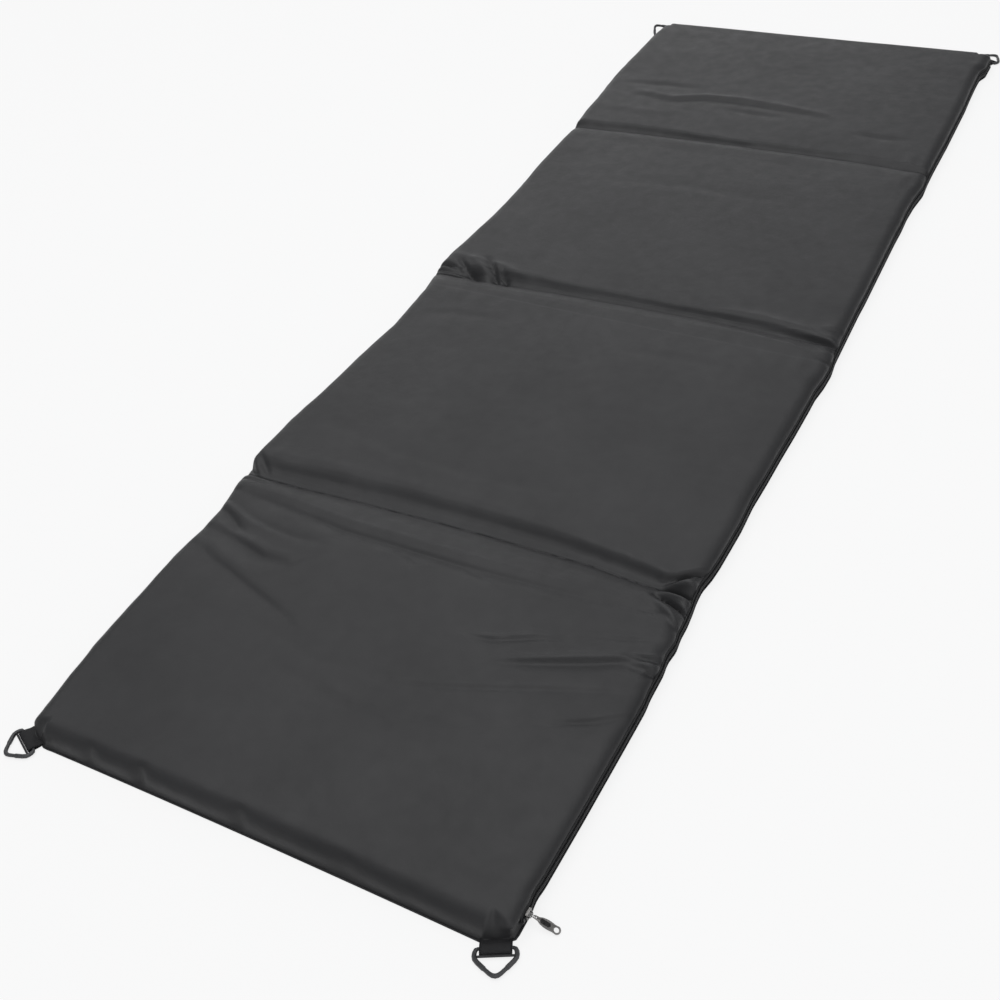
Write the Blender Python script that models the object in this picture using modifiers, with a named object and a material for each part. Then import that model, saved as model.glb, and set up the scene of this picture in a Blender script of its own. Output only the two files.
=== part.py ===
"""Folding padded landing mat: four foam panels in nylon covers, joined by
three sewn fold strips, with a zip along one long side and a webbing tab
with a triangular ring at each corner.

Metres, +Z up. The origin is the middle of the mat on the floor. X runs
across the mat towards the zip, Y runs along it, near end at -Y.
"""
import math

import bmesh
import bpy
from mathutils import Matrix, Vector

for item in list(bpy.data.objects):
    bpy.data.objects.remove(item, do_unlink=True)

# Mat
MAT_LENGTH = 2.40
MAT_WIDTH = 0.80
PAD_CROWN = 0.038
PAD_EDGE = 0.0335
CORNER_RADIUS = 0.034
CLOTH = 0.0008
HEM_HEIGHT = 0.0011

# Running gaps
FIT = 0.0003
HALF_FIT = FIT / 2
OVERRUN = 0.01
SEAT = 0.0003
WELD = 0.00001

# Folds
HINGE_HEIGHT = 0.001
CROWN_CLEARANCE = 0.003
WEB_THICKNESS = 0.0019
WALL_SETBACK = 0.002
UNDERSIDE_PIVOT_DROP = 0.0002

# Cover shape
SHOULDER_INSET = 0.014
SHOULDER_LIP = 0.0005
SHOULDER_HEIGHT = 0.0315
WALL_HEIGHT = 0.017
TOP_ROW_INSET = 0.055
SIDE_DRAW = 0.005
END_DRAW = 0.003

# Foam
FOAM_THICKNESS = 0.029
FOAM_INSET = 0.013
FOAM_EDGE = 0.004

# Zip
ZIP_HEIGHT = 0.0135
ZIP_OPENING = 0.013
TAPE_WIDTH = 0.0084
TAPE_END = 0.002
COIL_WIDTH = 0.0029
COIL_DEPTH = 0.0022
COIL_EDGE = 0.0006
COIL_GAP = 0.0009
STOP_LENGTH = 0.003
STOP_MARGIN = 0.001

# Slider
SLIDER_PARK = 0.001
SLIDER_LENGTH = 0.014
SLIDER_WIDTH = 0.011
SLIDER_PLATE = 0.0014
SLIDER_EDGE = 0.0003
FLANGE_WIDTH = 0.001
POST_WIDTH = 0.0004
POST_LENGTH = 0.004
BRIDGE_RADIUS = 0.0007
BRIDGE_REACH = 0.0028
BRIDGE_LENGTH = 0.008
BRIDGE_CORNER = 0.0015

# Pull
LINK_RADIUS = 0.0005
LINK_LENGTH = 0.0066
LINK_HEIGHT = 0.0054
LINK_CORNER = 0.0018
PULL_REACH = 0.0345
PULL_WIDTH = 0.0115
PULL_THICKNESS = 0.0013
PULL_EDGE = 0.0003
PULL_TAIL = 0.0025
PULL_NECK = 0.0044
PULL_EYE_LENGTH = 0.0032
PULL_EYE_WIDTH = 0.0022
PULL_HOLE = 0.0068
PULL_END = 0.0112
PULL_RECESS = 0.0003
PULL_RECESS_LENGTH = 0.014
PULL_RECESS_WIDTH = 0.0056

# Corner tabs and rings
WEBBING_WIDTH = 0.040
WEBBING_THICKNESS = 0.001
TAB_REACH = 0.007
TAB_TUCK = 0.022
TAB_TAPER = 0.009
SPLAY = math.radians(27)
FAR_LEFT_SPLAY = math.radians(69)
FAR_LEFT_RAISE = math.radians(21)
RING_WIDTH = 0.058
RING_LENGTH = 0.0407
RING_RADIUS = 0.003
RING_CROSSBAR = 0.010
RING_CROSSBAR_RADIUS = 0.0016

# Half outline of the ring: place across, place along, thickness, as shares
RING_SHARES = (
    (0.0, 0.0, 0.73),
    (0.815, 0.0, 0.73),
    (0.93, 0.045, 0.95),
    (0.985, 0.14, 1.0),
    (1.0, 0.26, 1.03),
    (0.97, 0.37, 1.06),
    (0.85, 0.49, 1.08),
    (0.55, 0.715, 1.12),
    (0.495, 0.755, 0.9),
    (0.27, 0.91, 0.96),
    (0.13, 0.98, 1.02),
    (0.0, 1.0, 1.04),
)
RING_BAR_SHARE = RING_SHARES[0][2]

# Slider plate: place along and half width, as shares of its length and width
SLIDER_SHARES = ((-0.5, 0.3), (-0.36, 0.5), (0.16, 0.5), (0.5, 0.45))

# Pull tab: place along and width, as shares of its reach and width
PULL_SHARES = (
    (0.12, 0.46),
    (0.24, 0.80),
    (0.38, 0.97),
    (0.50, 1.00),
    (0.62, 0.95),
    (0.73, 0.86),
)

# Pattern counts
PANELS = 4
CELLS_ACROSS = 7
CELLS_ALONG = 5
ARC_STEPS = 6

# Places worked out from the sizes
HALF_LENGTH = MAT_LENGTH / 2
HALF_WIDTH = MAT_WIDTH / 2
WEB_LENGTH = 2 * (PAD_CROWN - HINGE_HEIGHT) + CROWN_CLEARANCE
PAD_LENGTH = (MAT_LENGTH - (PANELS - 1) * WEB_LENGTH) / PANELS
PITCH = PAD_LENGTH + WEB_LENGTH
FOLD_Y = [-HALF_LENGTH + number * PITCH - WEB_LENGTH / 2 for number in range(1, PANELS)]
NEAR_A = FOLD_Y[0] - WEB_LENGTH / 2
NEAR_B = FOLD_Y[0] + WEB_LENGTH / 2
MIDDLE_A = FOLD_Y[1] - WEB_LENGTH / 2
MIDDLE_B = FOLD_Y[1] + WEB_LENGTH / 2
FAR_A = FOLD_Y[2] - WEB_LENGTH / 2
FAR_B = FOLD_Y[2] + WEB_LENGTH / 2

TAPE_IN = HALF_WIDTH + FIT
TAPE_OUT = TAPE_IN + CLOTH
COIL_IN = TAPE_OUT + FIT
COIL_OUT = COIL_IN + COIL_DEPTH
ZIP_START = -HALF_LENGTH + CORNER_RADIUS + TAPE_END
ZIP_END = -ZIP_START
STOP_START = ZIP_START + STOP_MARGIN
CHAIN_START = STOP_START + STOP_LENGTH + FIT
CHAIN_END = -CHAIN_START
SLIDER_Y = CHAIN_START + SLIDER_PARK + SLIDER_LENGTH / 2
OPENING_LOW = ZIP_HEIGHT - ZIP_OPENING / 2
OPENING_HIGH = ZIP_HEIGHT + ZIP_OPENING / 2


# Collections and looks
parts = bpy.data.collections.new("landing_mat")
cutters = bpy.data.collections.new("cutters")
bpy.context.scene.collection.children.link(parts)
bpy.context.scene.collection.children.link(cutters)


def material(name, colour, roughness, metallic=0.0):
    look = bpy.data.materials.new(name)
    look.use_nodes = True
    surface = look.node_tree.nodes["Principled BSDF"]
    surface.inputs["Base Color"].default_value = (*colour, 1.0)
    surface.inputs["Roughness"].default_value = roughness
    surface.inputs["Metallic"].default_value = metallic
    look.diffuse_color = (*colour, 1.0)
    return look


COVER_CLOTH = material("cover nylon", (0.040, 0.040, 0.043), 0.48)
BASE_CLOTH = material("base nylon", (0.025, 0.025, 0.027), 0.60)
FOLD_CLOTH = material("quilted fold nylon", (0.034, 0.034, 0.037), 0.50)
FOAM = material("open foam", (0.42, 0.42, 0.40), 0.95)
TAPE_CLOTH = material("zip tape", (0.012, 0.012, 0.013), 0.75)
COIL_PLASTIC = material("zip coil", (0.020, 0.020, 0.022), 0.35)
GUNMETAL = material("gunmetal", (0.16, 0.15, 0.15), 0.32, 1.0)
WEBBING = material("black webbing", (0.010, 0.010, 0.011), 0.70)
RING_PLASTIC = material("moulded ring plastic", (0.045, 0.045, 0.048), 0.38)


# Joint axes as empties
def joint_empty(name, place, parent=None, turn=0.0):
    empty = bpy.data.objects.new(name, None)
    parts.objects.link(empty)
    empty.matrix_world = Matrix.Translation(place) @ Matrix.Rotation(turn, 4, "Z")
    bpy.context.view_layer.update()
    if parent is not None:
        carry(empty, parent)
    return empty


def carry(item, parent):
    bpy.context.view_layer.update()
    item.parent = parent
    item.matrix_parent_inverse = parent.matrix_world.inverted()


def place_in(item, collection):
    for holder in list(item.users_collection):
        holder.objects.unlink(item)
    collection.objects.link(item)


def hide_as_cutter(item):
    place_in(item, cutters)
    item.hide_render = True
    item.display_type = "WIRE"


# Shape helpers
def dress(item, look):
    item.data.materials.clear()
    item.data.materials.append(look)


def plate(name, outlines, thickness, look, matrix):
    """A flat outline, with holes if there are more than one, made solid."""
    curve = bpy.data.curves.new(name, "CURVE")
    curve.dimensions = "2D"
    curve.fill_mode = "BOTH"
    curve.extrude = thickness / 2
    for outline in outlines:
        spline = curve.splines.new("POLY")
        spline.points.add(len(outline) - 1)
        for point, (across, along) in zip(spline.points, outline):
            point.co = (across, along, 0.0, 1.0)
        spline.use_cyclic_u = True
    item = bpy.data.objects.new(name, curve)
    parts.objects.link(item)
    item.matrix_world = matrix
    dress(item, look)
    return item


def tube(name, points, radius, look, matrix, closed=False, shares=None):
    """A round bar along points, with a share of the radius at each one."""
    curve = bpy.data.curves.new(name, "CURVE")
    curve.dimensions = "3D"
    curve.bevel_depth = radius
    curve.bevel_resolution = 2
    curve.use_fill_caps = True
    spline = curve.splines.new("POLY")
    spline.points.add(len(points) - 1)
    for index, (point, place) in enumerate(zip(spline.points, points)):
        point.co = (*place, 1.0)
        if shares:
            point.radius = shares[index]
    spline.use_cyclic_u = closed
    item = bpy.data.objects.new(name, curve)
    parts.objects.link(item)
    item.matrix_world = matrix
    dress(item, look)
    return item


def as_mesh(item):
    """The same object as a welded mesh in the same place."""
    bpy.context.view_layer.update()
    name = item.name
    matrix = item.matrix_world.copy()
    graph = bpy.context.evaluated_depsgraph_get()
    mesh = bpy.data.meshes.new_from_object(item.evaluated_get(graph))
    shape = bmesh.new()
    shape.from_mesh(mesh)
    bmesh.ops.remove_doubles(shape, verts=shape.verts, dist=WELD)
    bmesh.ops.recalc_face_normals(shape, faces=shape.faces)
    shape.to_mesh(mesh)
    shape.free()
    bpy.data.objects.remove(item, do_unlink=True)
    solid = bpy.data.objects.new(name, mesh)
    solid.name = name
    parts.objects.link(solid)
    solid.matrix_world = matrix
    return solid


def block(name, low, high, look, matrix=None):
    """A box between two corners."""
    mesh = bpy.data.meshes.new(name)
    shape = bmesh.new()
    bmesh.ops.create_cube(shape, size=1.0)
    size = Vector(high) - Vector(low)
    middle = (Vector(high) + Vector(low)) / 2
    for vertex in shape.verts:
        vertex.co = Vector(part * full for part, full in zip(vertex.co, size)) + middle
    shape.to_mesh(mesh)
    shape.free()
    item = bpy.data.objects.new(name, mesh)
    parts.objects.link(item)
    if matrix is not None:
        item.matrix_world = matrix
    dress(item, look)
    return item


def round_edges(item, width, segments=1):
    bevel = item.modifiers.new("rounded edges", "BEVEL")
    bevel.width = width
    bevel.segments = segments
    bevel.limit_method = "ANGLE"


def combine(target, tool, operation):
    hide_as_cutter(tool)
    joined = target.modifiers.new(operation.lower(), "BOOLEAN")
    joined.operation = operation
    joined.solver = "EXACT"
    joined.object = tool


def shade(item):
    item.data.shade_smooth()
    item.data.set_sharp_from_angle(angle=math.radians(35))


def arc(centre_x, centre_y, radius, start, end, steps=ARC_STEPS):
    """Points round an arc, angles in degrees."""
    points = []
    for step in range(steps + 1):
        angle = math.radians(start + (end - start) * step / steps)
        points.append((centre_x + radius * math.cos(angle), centre_y + radius * math.sin(angle)))
    return points


def rounded_outline(x0, x1, y0, y1, near_radius, far_radius):
    """A rectangle whose near and far pairs of corners have their own radii."""
    points = []
    if near_radius:
        points += arc(x0 + near_radius, y0 + near_radius, near_radius, 180, 270)
        points += arc(x1 - near_radius, y0 + near_radius, near_radius, 270, 360)
    else:
        points += [(x0, y0), (x1, y0)]
    if far_radius:
        points += arc(x1 - far_radius, y1 - far_radius, far_radius, 0, 90)
        points += arc(x0 + far_radius, y1 - far_radius, far_radius, 90, 180)
    else:
        points += [(x1, y1), (x0, y1)]
    return points


# A plate whose outline is drawn in Y and Z and whose thickness runs along X
UPRIGHT = Matrix.Rotation(math.pi / 2, 4, "Z") @ Matrix.Rotation(math.pi / 2, 4, "X")


def upright(x_low, x_high):
    return Matrix.Translation(((x_low + x_high) / 2, 0, 0)) @ UPRIGHT


# Bodies: near panel first, then each fold in turn
panel_1 = joint_empty("panel_1 origin", (0, 0, 0))
web_1 = joint_empty("fold 1 near axis", (0, NEAR_A, HINGE_HEIGHT), panel_1)
panel_2 = joint_empty("fold 1 far axis", (0, NEAR_B, HINGE_HEIGHT), web_1)
panel_3 = joint_empty("fold 2 axis", (0, FOLD_Y[1], -UNDERSIDE_PIVOT_DROP), panel_2)
web_3 = joint_empty("fold 3 near axis", (0, FAR_A, HINGE_HEIGHT), panel_3)
panel_4 = joint_empty("fold 3 far axis", (0, FAR_B, HINGE_HEIGHT), web_3)

# Each panel: number, carrier, near line, far line, whether each line is a fold
PANEL_TABLE = (
    (1, panel_1, -HALF_LENGTH, NEAR_A, False, True),
    (2, panel_2, NEAR_B, MIDDLE_A, True, True),
    (3, panel_3, MIDDLE_B, FAR_A, True, True),
    (4, panel_4, FAR_B, HALF_LENGTH, True, False),
)


# Covers: a coarse cage of crown, shoulder and wall rows, subdivided
def edge_stations(low, high, cells):
    """Places along a side: both ends, the ends of the corner arcs, even steps."""
    first = low + CORNER_RADIUS
    last = high - CORNER_RADIUS
    middle = [first + (last - first) * step / (cells - 2) for step in range(cells - 1)]
    return [low] + middle + [high]


def top_stations(low, high, cells):
    first = low + TOP_ROW_INSET
    last = high - TOP_ROW_INSET
    middle = [first + (last - first) * step / (cells - 2) for step in range(cells - 1)]
    return [low + SHOULDER_INSET] + middle + [high - SHOULDER_INSET]


def swell(place, low, high):
    """One at the middle of a side and zero at its ends."""
    share = (place - low) / (high - low)
    return 1 - (2 * share - 1) ** 2


def full_swell(place, low, high):
    share = (place - low) / (high - low)
    return 1 - (2 * share - 1) ** 4


def cover_shell(number, carrier, y0, y1):
    x0 = -HALF_WIDTH
    x1 = HALF_WIDTH
    xs = top_stations(x0, x1, CELLS_ACROSS)
    ys = top_stations(y0, y1, CELLS_ALONG)
    edge_xs = edge_stations(x0, x1, CELLS_ACROSS)
    edge_ys = edge_stations(y0, y1, CELLS_ALONG)
    mesh = bpy.data.meshes.new(f"cover_top_{number}")
    shape = bmesh.new()
    bmesh.ops.create_grid(shape, x_segments=CELLS_ACROSS, y_segments=CELLS_ALONG, size=1.0)
    grid = {}
    for vertex in shape.verts:
        column = round((vertex.co.x + 1) / 2 * CELLS_ACROSS)
        row = round((vertex.co.y + 1) / 2 * CELLS_ALONG)
        grid[vertex] = (column, row)
        rise = full_swell(xs[column], x0, x1) * full_swell(ys[row], y0, y1)
        edge_rise = full_swell(xs[0], x0, x1) * full_swell(ys[0], y0, y1)
        share = (rise - edge_rise) / (1 - edge_rise)
        vertex.co = (xs[column], ys[row], PAD_EDGE + (PAD_CROWN - PAD_EDGE) * max(share, 0.0))
    rim = [edge for edge in shape.edges if edge.is_boundary]
    cell = dict(grid)

    def rim_place(column, row, inset, height):
        arc_share = 1 - math.sqrt(0.5)
        corner = CORNER_RADIUS * arc_share
        x = edge_xs[column]
        y = edge_ys[row]
        at_low_x = column == 0
        at_high_x = column == CELLS_ACROSS
        at_low_y = row == 0
        at_high_y = row == CELLS_ALONG
        if (at_low_x or at_high_x) and (at_low_y or at_high_y):
            x += corner if at_low_x else -corner
            y += corner if at_low_y else -corner
            inset = inset * math.sqrt(0.5)
        if at_low_x:
            x += inset + SIDE_DRAW * swell(y, y0, y1)
        if at_high_x:
            x -= inset
        if at_low_y:
            y += inset + END_DRAW * swell(x, x0, x1)
        if at_high_y:
            y -= inset + END_DRAW * swell(x, x0, x1)
        return (x, y, height)

    for inset, height in (
        (SHOULDER_LIP, SHOULDER_HEIGHT),
        (0.0, WALL_HEIGHT),
        (0.0, HEM_HEIGHT),
    ):
        made = bmesh.ops.extrude_edge_only(shape, edges=rim)["geom"]
        fresh = [part for part in made if isinstance(part, bmesh.types.BMVert)]
        for vertex in fresh:
            old = [edge.other_vert(vertex) for edge in vertex.link_edges]
            source = [other for other in old if other in cell and other not in fresh][0]
            cell[vertex] = cell[source]
        for vertex in fresh:
            vertex.co = rim_place(*cell[vertex], inset, height)
        rim = [part for part in made if isinstance(part, bmesh.types.BMEdge)]
        rim = [edge for edge in rim if edge.is_boundary]
    bmesh.ops.recalc_face_normals(shape, faces=shape.faces)
    middle = min(shape.faces, key=lambda face: face.calc_center_median().xy.length)
    if middle.normal.z < 0:
        bmesh.ops.reverse_faces(shape, faces=shape.faces)
    shape.to_mesh(mesh)
    shape.free()
    item = bpy.data.objects.new(f"cover_top_{number}", mesh)
    parts.objects.link(item)
    dress(item, COVER_CLOTH)
    soft = item.modifiers.new("soft", "SUBSURF")
    soft.levels = 1
    soft.render_levels = 1
    cloth = item.modifiers.new("cloth", "SOLIDIFY")
    cloth.thickness = CLOTH
    cloth.offset = -1
    slot = block(
        f"zip slot cutter {number}",
        (HALF_WIDTH - CORNER_RADIUS / 2, max(y0 - OVERRUN, ZIP_START), OPENING_LOW),
        (HALF_WIDTH + OVERRUN, min(y1 + OVERRUN, ZIP_END), OPENING_HIGH),
        TAPE_CLOTH,
    )
    combine(item, slot, "DIFFERENCE")
    carry(item, carrier)
    shade(item)
    return item


for number, carrier, near, far, near_folds, far_folds in PANEL_TABLE:
    wall_near = near + (WALL_SETBACK if near_folds else 0.0)
    wall_far = far - (WALL_SETBACK if far_folds else 0.0)
    cover_shell(number, carrier, wall_near, wall_far)

    base = plate(
        f"cover_base_{number}",
        [
            rounded_outline(
                -HALF_WIDTH,
                HALF_WIDTH,
                near + (HALF_FIT if near_folds else 0.0),
                far - (HALF_FIT if far_folds else 0.0),
                0.0 if near_folds else CORNER_RADIUS,
                0.0 if far_folds else CORNER_RADIUS,
            )
        ],
        CLOTH,
        BASE_CLOTH,
        Matrix.Translation((0, 0, CLOTH / 2)),
    )
    carry(base, carrier)

    foam = block(
        f"foam_pad_{number}",
        (-HALF_WIDTH + FOAM_INSET, wall_near + FOAM_INSET, CLOTH + FIT),
        (HALF_WIDTH - FOAM_INSET, wall_far - FOAM_INSET, CLOTH + FIT + FOAM_THICKNESS),
        FOAM,
    )
    round_edges(foam, FOAM_EDGE, 2)
    carry(foam, carrier)


# Fold strips: the two covers quilted flat, with a lip that carries the zip
def strip(y0, y0_mitred, y1, y1_mitred, low, high):
    """A band from one height to another, cut at 45 degrees beside a fold."""
    gap = FIT
    near_low = y0 + (gap + max(low - HINGE_HEIGHT, 0.0) if y0_mitred else 0.0)
    near_high = y0 + (gap + max(high - HINGE_HEIGHT, 0.0) if y0_mitred else 0.0)
    far_low = y1 - (gap + max(low - HINGE_HEIGHT, 0.0) if y1_mitred else 0.0)
    far_high = y1 - (gap + max(high - HINGE_HEIGHT, 0.0) if y1_mitred else 0.0)
    return [(near_low, low), (far_low, low), (far_high, high), (near_high, high)]


def fold_strip(name, carrier, y0, y1, mitred):
    web = block(
        name,
        (-HALF_WIDTH, y0 + HALF_FIT, 0),
        (HALF_WIDTH, y1 - HALF_FIT, WEB_THICKNESS),
        FOLD_CLOTH,
    )
    trim = 0.0 if mitred else HALF_FIT
    lip = plate(
        f"{name} lip",
        [strip(y0 + trim, mitred, y1 - trim, mitred, HINGE_HEIGHT, OPENING_LOW)],
        CLOTH,
        FOLD_CLOTH,
        upright(HALF_WIDTH - CLOTH, HALF_WIDTH),
    )
    lip = as_mesh(lip)
    combine(web, lip, "UNION")
    carry(web, carrier)
    carry(lip, carrier)


fold_strip("fold_web_1", web_1, NEAR_A, NEAR_B, True)
fold_strip("fold_web_2_near", panel_2, MIDDLE_A, FOLD_Y[1], False)
fold_strip("fold_web_2_far", panel_3, FOLD_Y[1], MIDDLE_B, False)
fold_strip("fold_web_3", web_3, FAR_A, FAR_B, True)

# Zip tapes and coils, one length for each body that they ride on
ZIP_TABLE = (
    ("panel_1", panel_1, ZIP_START, False, NEAR_A, True),
    ("web_1", web_1, NEAR_A, True, NEAR_B, True),
    ("panel_2", panel_2, NEAR_B, True, FOLD_Y[1] - HALF_FIT, False),
    ("panel_3", panel_3, FOLD_Y[1] + HALF_FIT, False, FAR_A, True),
    ("web_3", web_3, FAR_A, True, FAR_B, True),
    ("panel_4", panel_4, FAR_B, True, ZIP_END, False),
)

for body, carrier, y0, y0_mitred, y1, y1_mitred in ZIP_TABLE:
    inner = COIL_GAP / 2
    for side, low, high in (
        ("upper", ZIP_HEIGHT + inner, ZIP_HEIGHT + inner + TAPE_WIDTH),
        ("lower", ZIP_HEIGHT - inner - TAPE_WIDTH, ZIP_HEIGHT - inner),
    ):
        tape = plate(
            f"zip_tape_{side}_{body}",
            [strip(y0, y0_mitred, y1, y1_mitred, low, high)],
            CLOTH,
            TAPE_CLOTH,
            upright(TAPE_IN, TAPE_OUT),
        )
        carry(tape, carrier)
    for side, low, high in (
        ("upper", ZIP_HEIGHT + inner, ZIP_HEIGHT + inner + COIL_WIDTH),
        ("lower", ZIP_HEIGHT - inner - COIL_WIDTH, ZIP_HEIGHT - inner),
    ):
        coil = plate(
            f"zip_coil_{side}_{body}",
            [strip(max(y0, CHAIN_START), y0_mitred, min(y1, CHAIN_END), y1_mitred, low, high)],
            COIL_DEPTH,
            COIL_PLASTIC,
            upright(COIL_IN, COIL_OUT),
        )
        coil = as_mesh(coil)
        round_edges(coil, COIL_EDGE)
        carry(coil, carrier)

for end, carrier, side in (("near", panel_1, 1), ("far", panel_4, -1)):
    edges = sorted((side * STOP_START, side * (STOP_START + STOP_LENGTH)))
    half = COIL_GAP / 2 + COIL_WIDTH
    stop = block(
        f"zip_stop_{end}",
        (COIL_IN, edges[0], ZIP_HEIGHT - half),
        (COIL_OUT, edges[1], ZIP_HEIGHT + half),
        COIL_PLASTIC,
    )
    round_edges(stop, COIL_EDGE)
    carry(stop, carrier)

# Slider: two plates joined by a post, flanges round the coil, and a bridge
plate_in = COIL_OUT + FIT
plate_out = plate_in + SLIDER_PLATE
inner_out = TAPE_IN - FIT
inner_in = inner_out - SLIDER_PLATE
chain_half = COIL_GAP / 2 + COIL_WIDTH + FIT
bridge_x = plate_out + BRIDGE_REACH
slider_home = Matrix.Translation((bridge_x, SLIDER_Y, ZIP_HEIGHT))
slider_outline = [(along * SLIDER_LENGTH, half * SLIDER_WIDTH) for along, half in SLIDER_SHARES]
slider_outline += [(along, -half) for along, half in reversed(slider_outline)]


def slider_plate(name, x_low, x_high):
    half = (x_low + x_high) / 2 - bridge_x
    shape = plate(
        name,
        [slider_outline],
        x_high - x_low,
        GUNMETAL,
        slider_home @ Matrix.Translation((half, 0, 0)) @ UPRIGHT,
    )
    return as_mesh(shape)


slider = slider_plate("zip_slider", plate_in, plate_out)
slider_world = slider.matrix_world.copy()
slider.data.transform(slider_home.inverted() @ slider_world)
slider.matrix_world = slider_home
round_edges(slider, SLIDER_EDGE)
tools = [slider_plate("slider inner plate", inner_in, inner_out)]
tools.append(
    block(
        "slider post",
        (inner_out - SEAT - bridge_x, -SLIDER_LENGTH / 2 + POST_WIDTH, -POST_WIDTH / 2),
        (plate_in + SEAT - bridge_x, -SLIDER_LENGTH / 2 + POST_WIDTH + POST_LENGTH, POST_WIDTH / 2),
        GUNMETAL,
        slider_home,
    )
)
for side in (1, -1):
    heights = sorted((side * chain_half, side * (chain_half + FLANGE_WIDTH)))
    tools.append(
        block(
            f"slider flange {side}",
            (COIL_IN - bridge_x, SLIDER_SHARES[1][0] * SLIDER_LENGTH, heights[0]),
            (plate_in + SEAT - bridge_x, SLIDER_LENGTH / 2 - SLIDER_EDGE, heights[1]),
            GUNMETAL,
            slider_home,
        )
    )
foot = plate_out - SEAT - bridge_x
half_bridge = BRIDGE_LENGTH / 2
turn = BRIDGE_CORNER
bridge_path = [(foot, -half_bridge, 0)]
bridge_path += [(x, y, 0) for x, y in arc(-turn, -half_bridge + turn, turn, -90, 0, 3)]
bridge_path += [(x, y, 0) for x, y in arc(-turn, half_bridge - turn, turn, 0, 90, 3)]
bridge_path += [(foot, half_bridge, 0)]
tools.append(as_mesh(tube("slider bridge", bridge_path, BRIDGE_RADIUS, GUNMETAL, slider_home)))
for tool in tools:
    combine(slider, tool, "UNION")
    carry(tool, slider)
carry(slider, panel_1)
shade(slider)

# Pull link: a small wire loop through the bridge
link_x = bridge_x - BRIDGE_RADIUS - FIT - LINK_RADIUS
link_home = Matrix.Translation((link_x, SLIDER_Y, ZIP_HEIGHT))
half_link = LINK_HEIGHT / 2
turn = LINK_CORNER
link_path = arc(LINK_LENGTH - turn, half_link - turn, turn, 0, 90, 3)
link_path += arc(turn, half_link - turn, turn, 90, 180, 3)
link_path += arc(turn, -half_link + turn, turn, 180, 270, 3)
link_path += arc(LINK_LENGTH - turn, -half_link + turn, turn, 270, 360, 3)
link = tube(
    "zip_pull_link",
    [(x, 0, z) for x, z in link_path],
    LINK_RADIUS,
    GUNMETAL,
    link_home,
    closed=True,
)
link = as_mesh(link)
carry(link, slider)
shade(link)

# Pull tab: an oval plate on the link, its ringed end resting on the floor
tip = PULL_REACH
pull_x = link_x + LINK_LENGTH
slant = math.hypot(tip, PULL_THICKNESS / 2)
droop = math.asin((ZIP_HEIGHT - FIT) / slant) - math.atan(PULL_THICKNESS / 2 / tip)
pull_home = Matrix.Translation((pull_x, SLIDER_Y, ZIP_HEIGHT)) @ Matrix.Rotation(droop, 4, "Y")
half_neck = PULL_NECK / 2
neck_round = PULL_EDGE * 3
upper_side = [(-PULL_TAIL, half_neck - neck_round), (-PULL_TAIL + neck_round, half_neck)]
upper_side += [(along * PULL_REACH, half * PULL_WIDTH / 2) for along, half in PULL_SHARES]
end_radius = PULL_END / 2
upper_side += arc(PULL_REACH - end_radius, 0, end_radius, 75, 0, 6)
pull_outline = upper_side + [(x, -y) for x, y in reversed(upper_side[:-1])]
eye = rounded_outline(
    -PULL_EYE_LENGTH / 2,
    PULL_EYE_LENGTH / 2,
    -PULL_EYE_WIDTH / 2,
    PULL_EYE_WIDTH / 2,
    0.0,
    0.0,
)
hole = arc(PULL_REACH - end_radius, 0, PULL_HOLE / 2, 0, 360, 20)[:-1]
pull = as_mesh(plate("zip_pull", [pull_outline, eye, hole], PULL_THICKNESS, GUNMETAL, pull_home))
recess_x = (PULL_EYE_LENGTH / 2 + PULL_REACH - end_radius - PULL_HOLE / 2) / 2
half_recess = PULL_RECESS_WIDTH / 2
recess_end = PULL_RECESS_LENGTH / 2 - half_recess
recess_outline = arc(recess_x + recess_end, 0, half_recess, -90, 90)
recess_outline += arc(recess_x - recess_end, 0, half_recess, 90, 270)
lift = PULL_THICKNESS / 2 + OVERRUN / 2 - PULL_RECESS
recess = as_mesh(
    plate(
        "pull recess cutter",
        [recess_outline],
        OVERRUN,
        GUNMETAL,
        pull_home @ Matrix.Translation((0, 0, lift)),
    )
)
combine(pull, recess, "DIFFERENCE")
round_edges(pull, PULL_EDGE)
carry(recess, pull)
carry(pull, link)
shade(pull)

# Corner rings and the webbing tabs that hold them
bar_radius = RING_RADIUS * RING_BAR_SHARE
eye_inner = bar_radius + FIT
eye_outer = eye_inner + WEBBING_THICKNESS
bar_height = eye_outer + FIT
apex_reach = RING_LENGTH - 2 * RING_RADIUS
apex_height = RING_RADIUS * RING_SHARES[-1][2] + FIT
ring_tilt = -math.asin((bar_height - apex_height) / apex_reach)
ring_half = RING_WIDTH / 2 - RING_RADIUS * RING_SHARES[4][2]

ring_side = [(x * ring_half, y * apex_reach, 0) for x, y, thick in RING_SHARES]
ring_path = ring_side + [(-x, y, z) for x, y, z in reversed(ring_side[1:-1])]
ring_thick = [thick for x, y, thick in RING_SHARES]
ring_thick += list(reversed(ring_thick[1:-1]))

# Side view of a tab: the eye round the bar, then two layers back to the seam
tab_back = -TAB_REACH - TAB_TUCK
tab_outline = [(tab_back, -eye_outer)]
tab_outline += arc(0, 0, eye_outer, -90, 100, 12)
tab_outline += [(-TAB_TAPER, -eye_outer + 2 * WEBBING_THICKNESS)]
tab_outline += [(tab_back, -eye_outer + 2 * WEBBING_THICKNESS)]
tab_eye = arc(0, 0, eye_inner, 0, 360, 16)[:-1]

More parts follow.
